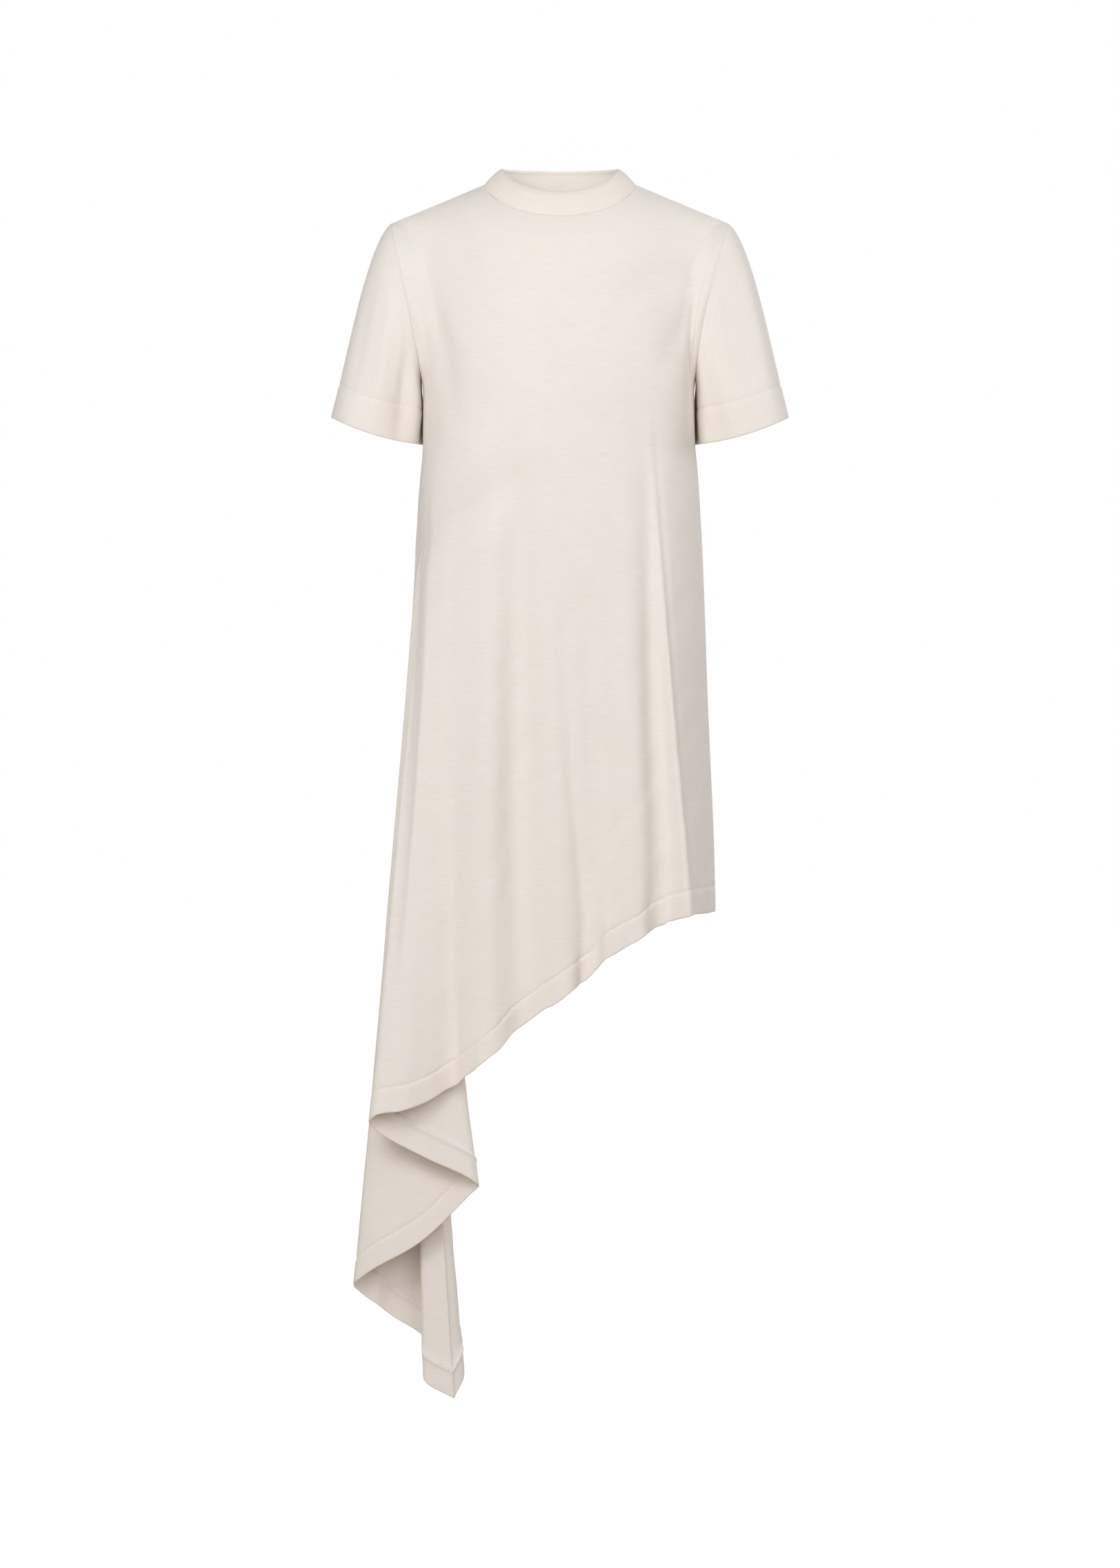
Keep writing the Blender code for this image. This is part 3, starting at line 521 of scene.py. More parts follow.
def panel_grain(columns, points):
    """Each point's place on the flat cloth: along the courses from the centre, and up the wales."""
    levels = np.linspace(CHEST_Z, columns[:, 4].min(), GRAIN_LEVELS)
    bands = np.array([folded_point(columns, np.full(len(columns), level)) for level in levels])
    along = distances(bands, 1)
    along -= along[:, [np.argmax(np.cos(np.radians(columns[:, 0])) ** 2)]]
    along *= np.sign(bands[0, -1, 0] - bands[0, 0, 0])
    down = distances(points)
    chest = len(UPPER_SHARES)
    height = np.where(np.arange(len(points))[:, None] < chest, CHEST_Z + down[chest] - down, points[..., 2])
    level = np.clip((height - levels[0]) / (levels[1] - levels[0]), 0, GRAIN_LEVELS - 1)
    index = np.minimum(level.astype(int), GRAIN_LEVELS - 2)
    part = level - index
    column = np.arange(points.shape[1])[None]
    below = along[index, column] * (1 - part) + along[index + 1, column] * part
    raised = np.zeros((len(points), 1))
    raised[:chest, 0] = 1 - UPPER_SHARES
    return np.stack([below + (points[..., 0] - below) * raised, height], axis=-1)


def tube_grain(points):
    """The same for a tube, whose first column lies opposite its join."""
    closed = np.concatenate([points, points[:, :1]], axis=1)
    along = distances(closed, 1)
    whole = along[:, -1:]
    across = along[:, :-1] - np.where(along[:, :-1] > whole / 2, whole, 0.0)
    return np.stack([across, -distances(points)], axis=-1)


class Cloth:
    """One cut piece: points on its cloth in rows, and the outward way and the flat place of each.

    A panel also has its columns' angles round the body, and a tube has none and is closed.
    """

    def __init__(self, points, flat, angle=None):
        self.points = points
        self.flat = flat
        self.angle = angle
        self.closed = angle is None
        if self.closed:
            across = np.roll(points, -1, axis=1) - np.roll(points, 1, axis=1)
        else:
            across = np.gradient(points, axis=1)
        self.outwards = unit(np.cross(np.gradient(points, axis=0), across))
        self.across = distances(points, 1)
        self.down = distances(points)

    def press(self, height):
        """Move the cloth outwards by a height at each point."""
        self.points = self.points + self.outwards * height[..., None]


def panel(folds, face, rises):
    """The cloth of the front panel, where face is -1, or of the back panel, where it is 1."""
    columns = hem_columns(folds, face)[::-face]
    points = panel_points(columns, face, rises)
    return Cloth(points, panel_grain(columns, points), columns[:, 0])


def row_levels(rows_above, hem_levels):
    """The height of each row above the hem's edge."""
    return np.array([FAR_ABOVE_HEM] * rows_above + list(hem_levels))[:, None]


def seam_relief(distance):
    """A seam draws the cloth in beside it."""
    return -SEAM_DIP * np.exp(-distance / SEAM_DIP_WIDTH)


def hem_relief(level, along, stitch_level):
    """A hem stands out a little below its stitching, and puckers along it."""
    from_stitches = level - stitch_level
    dip = -STITCH_DIP * np.exp(-((from_stitches / STITCH_DIP_WIDTH) ** 2))
    puff = HEM_PUFF / (1 + np.exp(from_stitches / STITCH_DIP_WIDTH))
    sway = PUCKER_SWAY * np.sin(along * PUCKER_SWAY_RATE) + PUCKER_SLANT * from_stitches
    wave = np.sin(2 * np.pi * along / PUCKER_LENGTH + sway)
    return dip + puff + PUCKER * wave * np.exp(-((from_stitches / PUCKER_WIDTH) ** 2))


def ripples(across, down):
    """The slight unevenness of jersey that hangs free: long waves that lie nearly upright."""
    total = np.zeros(np.broadcast(across, down).shape)
    for wave, (width, height) in enumerate(zip(RIPPLE_WIDTHS, RIPPLE_HEIGHTS)):
        slant = (-1) ** wave
        total += np.sin(2 * np.pi * (across / width + slant * down / height) + RIPPLE_PHASE * wave**2)
    return total * RIPPLE / np.sqrt(len(RIPPLE_WIDTHS))


def hem_wander(tucks, x, along, from_side, level):
    """How far the cloth near the hem is drawn up or let down by tucks and uneven sewing."""
    long, short = HEM_WAVE_LENGTHS
    sway = HEM_WAVE_SWAY * np.sin(HEM_WAVE_SWAY_RATE * along)
    wave = np.sin(2 * np.pi * along / long + HEM_WAVE_PHASE)
    wave += HEM_WAVE_SHARE * np.sin(2 * np.pi * along / short + sway)
    total = HEM_WAVE * wave * (1 - np.exp(-((from_side / HEM_WAVE_START) ** 2)))
    for tuck in tucks:
        aside = (x - tuck.x) / tuck.width
        total += tuck.rise * aside * np.exp(-(aside**2))
    above = np.maximum(level - BODY_HEM_DROP, 0.0)
    return total * np.exp(-((above / HEM_WAVE_REACH) ** 2))


def crease_fade(share):
    """A crease dies away at both its ends."""
    return np.sin(np.pi * np.clip(share, 0, 1)) ** CREASE_FADE_POWER


def crease_relief(creases, points):
    total = np.zeros(points.shape[:2])
    for crease in creases:
        run = np.array([crease.end_x - crease.x, crease.end_z - crease.z])
        away = points[..., [0, 2]] - np.array([crease.x, crease.z])
        share = away @ run / (run @ run)
        aside = (away[..., 0] * run[1] - away[..., 1] * run[0]) / np.linalg.norm(run)
        aside -= crease.bend * 4 * share * (1 - share)
        total += crease.depth * crease_fade(share) * np.exp(-((aside / crease.width) ** 2))
    return total


def layer_relief(creases, angle, points):
    total = np.zeros(points.shape[:2])
    for crease in creases:
        share = (points[..., 2] - crease.top) / (crease.bottom - crease.top)
        aside = (angle - crease.angle) / crease.width
        total += crease.depth * crease_fade(share) * np.exp(-(aside**2))
    return total


def add_object(name, data):
    made = bpy.data.objects.new(name, data)
    bpy.context.scene.collection.objects.link(made)
    return made


def add_mesh(name, points, faces):
    mesh = bpy.data.meshes.new(name)
    mesh.from_pydata(points.reshape(-1, 3).tolist(), [], faces)
    return add_object(name, mesh)


def shell(name, cloth, layers, round_first=False, round_last=False):
    """The closed wall between the outer and the inner face. layers is the plies at each row."""
    rows, count = cloth.points.shape[:2]
    flat = cloth.flat
    outer = cloth.points + cloth.outwards * PLY / 2
    inner = cloth.points - cloth.outwards * (layers[:, None, None] - 0.5) * PLY

    def rim(row, beyond):
        """The rows of a rounded fold at one end, from the outer face to the inner one."""
        middle = (outer[row] + inner[row]) / 2
        half = (outer[row] - inner[row]) / 2
        tip = unit(cloth.points[row] - cloth.points[beyond]) * np.linalg.norm(half, axis=1)[:, None]
        bend = np.pi * np.arange(1, RIM_STEPS) / RIM_STEPS
        return [middle + half * np.cos(one) + tip * np.sin(one) for one in bend]

    # The rows run down the outer face, up the inner one and back to the first.
    last = rim(-1, -2) if round_last else []
    first = rim(0, 1)[::-1] if round_first else []
    ring = np.array([*outer, *last, *inner[::-1], *first])
    ring_flat = np.array([*flat, *[flat[-1]] * len(last), *flat[::-1], *[flat[0]] * len(first)])
    number = np.arange(len(ring) * count).reshape(len(ring), count)
    grid = np.vstack([number, number[:1]])
    if cloth.closed:
        grid = np.hstack([grid, grid[:, :1]])
    quads = np.stack([grid[:-1, 1:], grid[:-1, :-1], grid[1:, :-1], grid[1:, 1:]], axis=-1)
    faces = quads.reshape(-1, 4).tolist()
    if not cloth.closed:
        for column, way in ((0, -1), (-1, 1)):
            outside = number[:rows, column]
            fold = number[rows : rows + len(last), column]
            inside = number[rows + len(last) : 2 * rows + len(last), column][::-1]
            edge = np.stack([outside[:-1], outside[1:], inside[1:], inside[:-1]], axis=1)
            faces += edge[:, ::way].tolist()
            faces.append([outside[-1], *fold, inside[-1]][::way])
    made = add_mesh(name, ring, faces)
    mesh = made.data
    corner = np.zeros(len(mesh.loops), int)
    mesh.loops.foreach_get("vertex_index", corner)
    place = ring_flat.reshape(-1, 2)[corner]
    if cloth.closed:  # the faces at the join don't run back across the whole cloth
        faces_place = place.reshape(-1, 4, 2)
        spread = np.ptp(faces_place[..., 0], axis=1, keepdims=True)
        joined = (spread > np.ptp(flat[..., 0]) / 2) & (faces_place[..., 0] < 0)
        faces_place[..., 0] += np.where(joined, spread, 0.0)
    mesh.uv_layers.new(name="cloth").data.foreach_set("uv", place.ravel())
    mesh.shade_smooth()
    mesh.set_sharp_from_angle(angle=SHARP_ANGLE)
    return made


def linear(colour):
    """An sRGB hex colour as linear red, green, blue and alpha."""
    parts = [int(colour[i : i + 2], 16) / 255 for i in (1, 3, 5)]
    return (*(part / 12.92 if part <= 0.04045 else ((part + 0.055) / 1.055) ** 2.4 for part in parts), 1.0)


def stand_for(cloth, node, material):
    """Give a cloth its material and the place of its solid."""
    cloth.data.materials.append(material)
    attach(cloth, "root")
    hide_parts(node)


def with_no_nodes(made):
    made.use_nodes = True
    made.node_tree.nodes.clear()
    return made


def add_node(material, kind, settings, links=None):
    """One shader node. settings are its inputs by name or number, or its own values.

    links are nodes, which stand for their first output, or outputs.
    """
    tree = material.node_tree
    made = tree.nodes.new("ShaderNode" + kind)
    for name, value in settings.items():
        if isinstance(name, int) or name in made.inputs:
            made.inputs[name].default_value = value
        else:
            setattr(made, name, value)
    for name, source in (links or {}).items():
        tree.links.new(source.outputs[0] if hasattr(source, "outputs") else source, made.inputs[name])
    return made


def with_surface(material, settings, links):
    surface = add_node(material, "BsdfPrincipled", settings, links)
    add_node(material, "OutputMaterial", {}, {"Surface": surface})
    return material


SLUB_LENGTH = 0.021  # a thicker stretch of yarn
SLUB_PITCH = 0.0013  # between courses, drawn twice as coarse as knitted so that it shows
WALE_PITCH = 0.0011  # between the upright lines of stitches, drawn coarser too
STITCH_PITCH = 0.0022  # up one such line
CLOUD_SIZE = 0.07  # patches where the yarn runs thicker or thinner
CLOUD_SHARE = 0.35
KNIT_SHARE = 0.6
KNIT_RELIEF = 0.0004


def slub_jersey(name, pale, deep):
    """Combed cotton single jersey with slubs: matt, faintly streaked across, with a soft bloom of fibre."""
    material = with_no_nodes(bpy.data.materials.new(name))
    place = add_node(material, "UVMap", {"uv_map": "cloth"})
    patterns = (
        (SLUB_LENGTH, SLUB_PITCH, 2.0, 0.55),
        (CLOUD_SIZE, CLOUD_SIZE, 3.0, 0.5),
        (WALE_PITCH, STITCH_PITCH, 1.0, 0.5),
    )
    noises = []
    for width, height, detail, roughness in patterns:
        scale = {"Scale": (1 / width, 1 / height, 1.0)}
        scaled = add_node(material, "Mapping", scale, {"Vector": place})
        grain = {"noise_dimensions": "2D", "Scale": 1.0, "Detail": detail, "Roughness": roughness}
        noises.append(add_node(material, "TexNoise", grain, {"Vector": scaled}))
    streaks, clouds, knit = noises
    sums = []
    for noise, part in ((clouds, CLOUD_SHARE), (knit, KNIT_SHARE)):
        added = {"operation": "MULTIPLY_ADD", 1: part}
        sums.append(add_node(material, "Math", added, {0: noise, 2: streaks}))
    unevenness, height = sums
    spread = {"From Min": 0.34, "From Max": 1.01}
    share = add_node(material, "MapRange", spread, {"Value": unevenness})
    dyed = {"data_type": "RGBA", 6: linear(deep), 7: linear(pale)}
    colour = add_node(material, "Mix", dyed, {0: share})
    raised = {"Strength": 0.22, "Distance": KNIT_RELIEF}
    relief = add_node(material, "Bump", raised, {"Height": height})
    cotton = {
        "Roughness": 0.86,
        "Specular IOR Level": 0.25,
        "Sheen Weight": 0.10,
        "Sheen Roughness": 0.5,
        "Subsurface Weight": 0.5,
        "Subsurface Radius": (1.0, 0.90, 0.80),
        "Subsurface Scale": 0.0014,
    }
    return with_surface(material, cotton, {"Base Color": colour.outputs[2], "Normal": relief})


ECRU_PALE = "#EFE9E1"
ECRU_DEEP = "#E9E2D8"
body_jersey = slub_jersey("slub_cotton_jersey", ECRU_PALE, ECRU_DEEP)

front = panel(FRONT_FOLDS, -1, FRONT_RISES)
back = panel(BACK_FOLDS, 1, BACK_RISES)
BODY_LEVELS = row_levels(len(front.points) - len(HEM_LEVELS), HEM_LEVELS)

# The panels share one outward way along each side seam, upright along the shoulder seams, and
# straight away from the armhole's middle along the armholes.
for first, second in ((front, back), (back, front)):
    line = unit(np.gradient(first.points[:, 0], axis=0))
    shared = unit(first.outwards[:, 0] + second.outwards[:, -1])
    shared = unit(shared - line * np.sum(shared * line, axis=1, keepdims=True))
    first.outwards[1:, 0] = shared[1:]
    second.outwards[1:, -1] = shared[1:]
for cloth in (front, back):
    turned = from_centre(cloth.angle)
    side = np.sign(np.sin(np.radians(cloth.angle)))
    for way in (-1, 1):
        shoulder = (turned > NECK_ANGLE) & (turned < SHOULDER_ANGLE) & (side == way)
        slope = way * (NECK_POINT_Z - SHOULDER_TIP_Z)
        cloth.outwards[0, shoulder] = unit(np.array([slope, 0.0, SHOULDER_TIP_X - NECK_HALF_WIDTH]))
        armhole = (turned >= SHOULDER_ANGLE - ANGLE_SLACK) & (side == way)
        middle_x = way * (SHOULDER_TIP_X + UNDERARM_X[way]) / 2
        middle = np.array([middle_x, 0.0, (SHOULDER_TIP_Z + UNDERARM_Z) / 2])
        cloth.outwards[0, armhole] = unit(cloth.points[0, armhole] - middle)

for cloth, creases, layer_creases, tucks in (
    (front, FRONT_CREASES, FRONT_LAYER_CREASES, FRONT_HEM_TUCKS),
    (back, BACK_CREASES, BACK_LAYER_CREASES, BACK_HEM_TUCKS),
):
    from_side = np.minimum(cloth.across, cloth.across[:, -1:] - cloth.across)
    from_edge = np.minimum(from_side, cloth.down)
    from_cascade = np.abs(cloth.angle + SIDE_ANGLE) - CASCADE_ANGLE
    beside_cascade = np.clip(from_cascade / CASCADE_FADE_ANGLE, 0, 1)
    above_cascade = np.clip((cloth.points[..., 2] - CASCADE_TOP) / CASCADE_FADE, 0, 1)
    from_neck = from_centre(cloth.angle) - NECK_ANGLE
    drawn_in = np.clip(from_neck / (2 * NECK_FADE_ANGLE) + 0.5, 0, 1)
    loose = 1 - np.exp(-((from_edge / RIPPLE_FADE) ** 2))
    relief = np.minimum(seam_relief(from_side), seam_relief(cloth.down) * drawn_in)
    relief += hem_relief(BODY_LEVELS, cloth.across, STITCH_LEVEL)
    relief += loose * ripples(cloth.across, cloth.down)
    single = np.maximum(beside_cascade, above_cascade)
    relief += loose * crease_relief(creases, cloth.points) * single
    relief += loose * layer_relief(layer_creases, cloth.angle, cloth.points)
    cloth.press(relief)
    above_hem = cloth.points[..., 2] - cloth.points[-1:, :, 2]
    wander = hem_wander(tucks, cloth.points[-1, :, 0], cloth.across, from_side, above_hem)
    cloth.points[..., 2] += wander * beside_cascade

layers = np.where(BODY_LEVELS[:, 0] <= BODY_HEM_DROP, 2.0, 1.0)
PANEL_FLAT = (1.00, 1.47)  # the cut, across its widest and along its longest
PANEL_AREA = 0.63
front_cloth = shell("front_panel_cloth", front, layers, round_last=True)
back_cloth = shell("back_panel_cloth", back, layers, round_last=True)
stand_for(front_cloth, "front_panel", body_jersey)
stand_for(back_cloth, "back_panel", body_jersey)


# ======================================== sleeves
# Two short set-in sleeves, each one piece of the same jersey with a seam under the arm, eased into
# the armhole. Each hem is turned up once and topstitched.

SLEEVE_HEM_OUTER = (0.2710, -0.0100, -0.2750)
SLEEVE_HEM_INNER = {1: (0.1606, 0.0320, -0.3070), -1: (0.1628, 0.0320, -0.3070)}
SLEEVE_HEM_REACH = 0.064
SLEEVE_HEM_BOW = 0.005
SLEEVE_HEM_DROP = 0.040
SLEEVE_HANG = (0.27, 0.03, -0.97)
UNDERARM_HANG = (0.0, 0.03, -0.97)
CAP_LIFT = 0.90
UNDERARM_LIFT = 0.15
CAP_EASE = 0.30
SLEEVE_RIPPLE_REACH = 0.060
SLEEVE_SHARES = np.concatenate([[0.0, 0.004, 0.010, 0.020, 0.035], np.linspace(0.06, 1.0, 46)])
SLEEVE_LEVELS = (
    *(0.0400, 0.0390, 0.0380, 0.0372, 0.0365, 0.0358, 0.0345),
    *(0.0320, 0.0280, 0.0220, 0.0150, 0.0080, 0.0030, 0.0012),
)
SLEEVE_STITCH_LEVEL = 0.0372
SLEEVE_FLAT = (0.39, 0.245)
SLEEVE_AREA = 0.064


class SleeveCrease(NamedTuple):
    """A soft fold down a sleeve. around is 0 over the shoulder, 0.25 in front, 0.5 underneath."""

    around: float
    end_around: float
    top: float  # shares of the way down
    bottom: float
    width: float
    depth: float


# Where a sleeve hangs against the body, its underside fills out towards it.
UNDERARM_CREASES = (
    SleeveCrease(0.378, 0.378, 0.1, 1.4, 0.038, 0.0075),
    SleeveCrease(0.5, 0.5, 0.0, 1.4, 0.034, 0.0006),
    SleeveCrease(0.555, 0.555, 0.0, 1.5, 0.03, 0.0036),
)
SLEEVE_CREASES = {
    1: (
        SleeveCrease(0.215, 0.165, 0.12, 1.05, 0.03, -0.0042),
        SleeveCrease(0.3, 0.27, 0.3, 1.1, 0.026, 0.003),
        SleeveCrease(0.4, 0.36, 0.05, 0.9, 0.022, -0.003),
        SleeveCrease(0.08, 0.11, 0.15, 0.9, 0.028, 0.002),
        SleeveCrease(0.7, 0.76, 0.1, 1.05, 0.034, -0.0038),
        SleeveCrease(0.86, 0.84, 0.25, 1.0, 0.03, 0.0026),
        SleeveCrease(0.465, 0.465, 0.0, 1.5, 0.03, -0.0004),
        *UNDERARM_CREASES,
    ),
    -1: (
        SleeveCrease(0.19, 0.23, 0.1, 1.1, 0.03, 0.0034),
        SleeveCrease(0.3, 0.33, 0.08, 1.05, 0.032, -0.0046),
        SleeveCrease(0.42, 0.41, 0.1, 0.85, 0.02, 0.0022),
        SleeveCrease(0.09, 0.12, 0.2, 0.95, 0.026, -0.002),
        SleeveCrease(0.72, 0.69, 0.12, 1.05, 0.032, -0.0036),
        SleeveCrease(0.88, 0.85, 0.2, 1.0, 0.028, 0.0022),
        SleeveCrease(0.465, 0.465, 0.0, 1.5, 0.03, -0.001),
        *UNDERARM_CREASES,
    ),
}


def panel_edge(cloth, side):
    """A panel's points and ways along one armhole, from the shoulder tip down, and their share of it."""
    turned = from_centre(cloth.angle)
    beyond = turned > SHOULDER_ANGLE - ANGLE_SLACK
    there = np.flatnonzero(beyond & (side * np.sin(np.radians(cloth.angle)) > 0))
    there = there[np.argsort(turned[there])]
    share = (turned[there] - SHOULDER_ANGLE) / (SIDE_ANGLE - SHOULDER_ANGLE)
    return cloth.points[0, there], cloth.outwards[0, there], share


def sleeve(side):
    """A sleeve's cloth. Its columns run once round from the shoulder tip, the left one's backwards."""
    first, second = (panel_edge(one, side) for one in (front, back)[::-side])
    armhole = np.vstack([first[0], second[0][-2:0:-1]])
    ways = np.vstack([first[1], second[1][-2:0:-1]])
    around = np.concatenate([first[2] / 2, 1 - second[2][-2:0:-1] / 2])
    mirrored = np.array([side, 1, 1])
    outer = mirrored * SLEEVE_HEM_OUTER
    inner = mirrored * SLEEVE_HEM_INNER[side]
    turn = 2 * np.pi * around[:, None]
    underneath = ((1 - np.cos(turn)) / 2) ** 2  # 1 at the underarm
    hem = (outer + inner) / 2 + (outer - inner) / 2 * np.cos(turn)
    hem[:, 1:2] += side * SLEEVE_HEM_REACH * np.sin(turn)
    hem[:, 2:] -= SLEEVE_HEM_BOW * np.sin(turn) ** 2
    length = np.linalg.norm(hem - armhole, axis=1)[:, None]
    hanging = np.array(SLEEVE_HANG) * (1 - underneath) + np.array(UNDERARM_HANG) * underneath
    hang = unit(mirrored * hanging)
    lift = np.where(np.cos(turn) > 0, CAP_LIFT, -UNDERARM_LIFT) * np.cos(turn)
    leave = (hang + np.array([side, 0.0, 0.0]) * lift) * length * CAP_EASE
    body = 1 - (SLEEVE_HEM_DROP + HEM_STEP) / length
    shares = [share * body for share in SLEEVE_SHARES] + [1 - level / length for level in SLEEVE_LEVELS]
    points = np.array([hermite(armhole, leave, hem, hang * length, share) for share in shares])
    cloth = Cloth(points, tube_grain(points))
    cloth.outwards[0] = ways
    down = cloth.down / cloth.down[-1:]
    front_share = around if side < 0 else 1 - around  # 0.25 in front on both sleeves
    relief = hem_relief(SLEEVE_ROW_LEVELS, cloth.across, SLEEVE_STITCH_LEVEL)
    loose = 1 - np.exp(-((cloth.down / RIPPLE_FADE) ** 2))
    relief += loose * ripples(np.sin(turn.T) * SLEEVE_RIPPLE_REACH, cloth.down)
    for crease in SLEEVE_CREASES[side]:
        middle = crease.around + (crease.end_around - crease.around) * down
        fade = crease_fade((down - crease.top) / (crease.bottom - crease.top))
        aside = (front_share - middle) / crease.width
        relief += loose * crease.depth * fade * np.exp(-(aside**2))
    cloth.press(relief)
    return cloth


SLEEVE_ROW_LEVELS = row_levels(len(SLEEVE_SHARES), SLEEVE_LEVELS)
layers = np.where(SLEEVE_ROW_LEVELS[:, 0] <= SLEEVE_HEM_DROP, 2.0, 1.0)
sleeves = {}
for side, node in ((1, "left_sleeve"), (-1, "right_sleeve")):
    cloth = sleeve(side)
    made = shell(node + "_cloth", cloth, layers, round_last=True)
    stand_for(made, node, body_jersey)
    sleeves[node] = (cloth, made)


# ======================================== neckband
# One strip of the same jersey, cut across the cloth, joined in a ring and folded in half along its
# length. It is stretched slightly on to the neckline, so it leans in towards the neck.

BAND_TOP_HALF_WIDTH = 0.071
BAND_TOP_REACH = {1: 0.056, -1: 0.058}  # front and back
BAND_TOP_SIDE_Z = 0.0205
BAND_TOP_Z = {1: -0.0070, -1: 0.0175}
BAND_TOP_POWER = 1.2
BAND_BULGE = 0.0008
BAND_ROLL = 0.0022  # the top fold rolls in towards the neck
BAND_ROLL_SHARE = 0.22
BAND_LAYERS = 2.0
BAND_SHARES = np.concatenate([np.linspace(0.0, 0.90, 19), [0.93, 0.96, 0.985, 1.0]])
BAND_PALE = "#F1EADF"  # doubled cloth lets less light through, so it looks a little lighter
BAND_DEEP = "#ECE4D8"

front_neck = np.flatnonzero(from_centre(front.angle) < NECK_ANGLE + ANGLE_SLACK)
back_neck = np.flatnonzero(from_centre(back.angle) < NECK_ANGLE + ANGLE_SLACK)[1:-1]
seam = np.vstack([front.points[0, front_neck], back.points[0, back_neck]])
seam_ways = np.vstack([front.outwards[0, front_neck], back.outwards[0, back_neck]])
front_turn = front.angle[front_neck] / NECK_ANGLE * 90
back_turn = 180 + (back.angle[back_neck] + 180) / NECK_ANGLE * 90
band_turn = np.radians(np.concatenate([front_turn, back_turn]))
across, forward = np.sin(band_turn), np.cos(band_turn)
reach = np.where(forward > 0, BAND_TOP_REACH[1], BAND_TOP_REACH[-1])
middle_z = np.where(forward > 0, BAND_TOP_Z[1], BAND_TOP_Z[-1])
top_z = BAND_TOP_SIDE_Z + (middle_z - BAND_TOP_SIDE_Z) * np.abs(forward) ** BAND_TOP_POWER
band_top = np.stack([BAND_TOP_HALF_WIDTH * across, -reach * forward, top_z], axis=-1)
band_out = np.stack([across, -forward, np.zeros(len(across))], axis=-1)
band_rows = []
for share in BAND_SHARES:
    roll = BAND_ROLL * max(1 - share / BAND_ROLL_SHARE, 0.0) ** 2
    stand = BAND_BULGE * np.sin(np.pi * share) - roll
    band_rows.append(band_top + (seam - band_top) * share + band_out * stand)
band_points = np.array(band_rows)
band = Cloth(band_points, tube_grain(band_points))
band.outwards[-1] = seam_ways
neckband_cloth = shell("neckband_cloth", band, np.full(len(BAND_SHARES), BAND_LAYERS), round_first=True)
stand_for(neckband_cloth, "neckband", slub_jersey("doubled_slub_jersey", BAND_PALE, BAND_DEEP))


# ======================================== hem stitching
# Polyester sewing thread: one row of lockstitch that shows on the outside of each hem, and an
# overlocked edge over the raw edge of the turned-up layer inside.

THREAD = 0.00042  # radius, drawn thicker than the real thread so that it shows
STITCH_LENGTH = 0.0034
STITCH_SHARE = 0.80  # of the length that each stitch covers
STITCH_LIFT = 0.00030
THREAD_END = 0.65  # a stitch's ends are this much thinner, where they dive into the cloth
TWIST_PITCH = 0.0011  # one turn of the thread's plies, drawn longer than spun so that it shows
OVERLOCK_PITCH = 0.0026
OVERLOCK_HEAD = 0.8  # plies inwards from the middle of the outer layer, above the raw edge
OVERLOCK_FOOT = 1.6  # and below it, on the turned-up layer
THREAD_RINGS = 4
THREAD_SIDES = 5


def at_columns(values, where):
    """Values of a row of points at places between its columns."""
    index = np.clip(where.astype(int), 0, len(values) - 2)
    part = (where - index)[:, None]
    return values[index] * (1 - part) + values[index + 1] * part


def even_places(row, pitch):
    """Places along a row of points, an even pitch apart."""
    along = distances(row)
    return np.interp(np.arange(int(along[-1] / pitch) + 1) * pitch, along, np.arange(len(row)))


def threads(name, starts, ends, ways):
    """Short stretches of thread, each bowed off the cloth between its two ends."""
    share = np.linspace(0, 1, THREAD_RINGS)[None, :, None]
    bow = np.sin(np.pi * share)
    centres = starts[:, None] + (ends - starts)[:, None] * share
    centres += ways[:, None] * (STITCH_LIFT * bow - THREAD / 2)
    beside = unit(np.cross(ends - starts, ways))[:, None, None]
    above = ways[:, None, None]
    turn = (2 * np.pi * np.arange(THREAD_SIDES) / THREAD_SIDES)[None, None, :, None]
    thick = THREAD * (THREAD_END + (1 - THREAD_END) * bow)[:, :, None]
    points = centres[:, :, None] + thick * (np.cos(turn) * beside + np.sin(turn) * above)
    number = np.arange(points.size // 3).reshape(points.shape[:3])
    beside_it = np.roll(number, -1, axis=2)
    quads = np.stack([number[:, :-1], beside_it[:, :-1], beside_it[:, 1:], number[:, 1:]], axis=-1)
    faces = quads.reshape(-1, 4).tolist() + number[:, 0, ::-1].tolist() + number[:, -1].tolist()
    made = add_mesh(name, points, faces)
    made.data.shade_smooth()
    return made


def spun_polyester(name, colour):
    """Spun polyester sewing thread, dyed to the cloth: smoother than the jersey, with a slight gloss."""
    material = with_no_nodes(bpy.data.materials.new(name))
    place = add_node(material, "TexCoord", {}).outputs["Object"]
    grain = {"Scale": 1 / TWIST_PITCH, "Detail": 1.0}
    twist = add_node(material, "TexNoise", grain, {"Vector": place})
    dyed = {"data_type": "RGBA", 6: linear(colour), 7: linear(ECRU_PALE)}
    mixed = add_node(material, "Mix", dyed, {0: twist})
    gloss = {"Roughness": 0.6, "Specular IOR Level": 0.45}
    return with_surface(material, gloss, {"Base Color": mixed.outputs[2]})


thread = spun_polyester("spun_polyester_thread", "#FBF6F0")


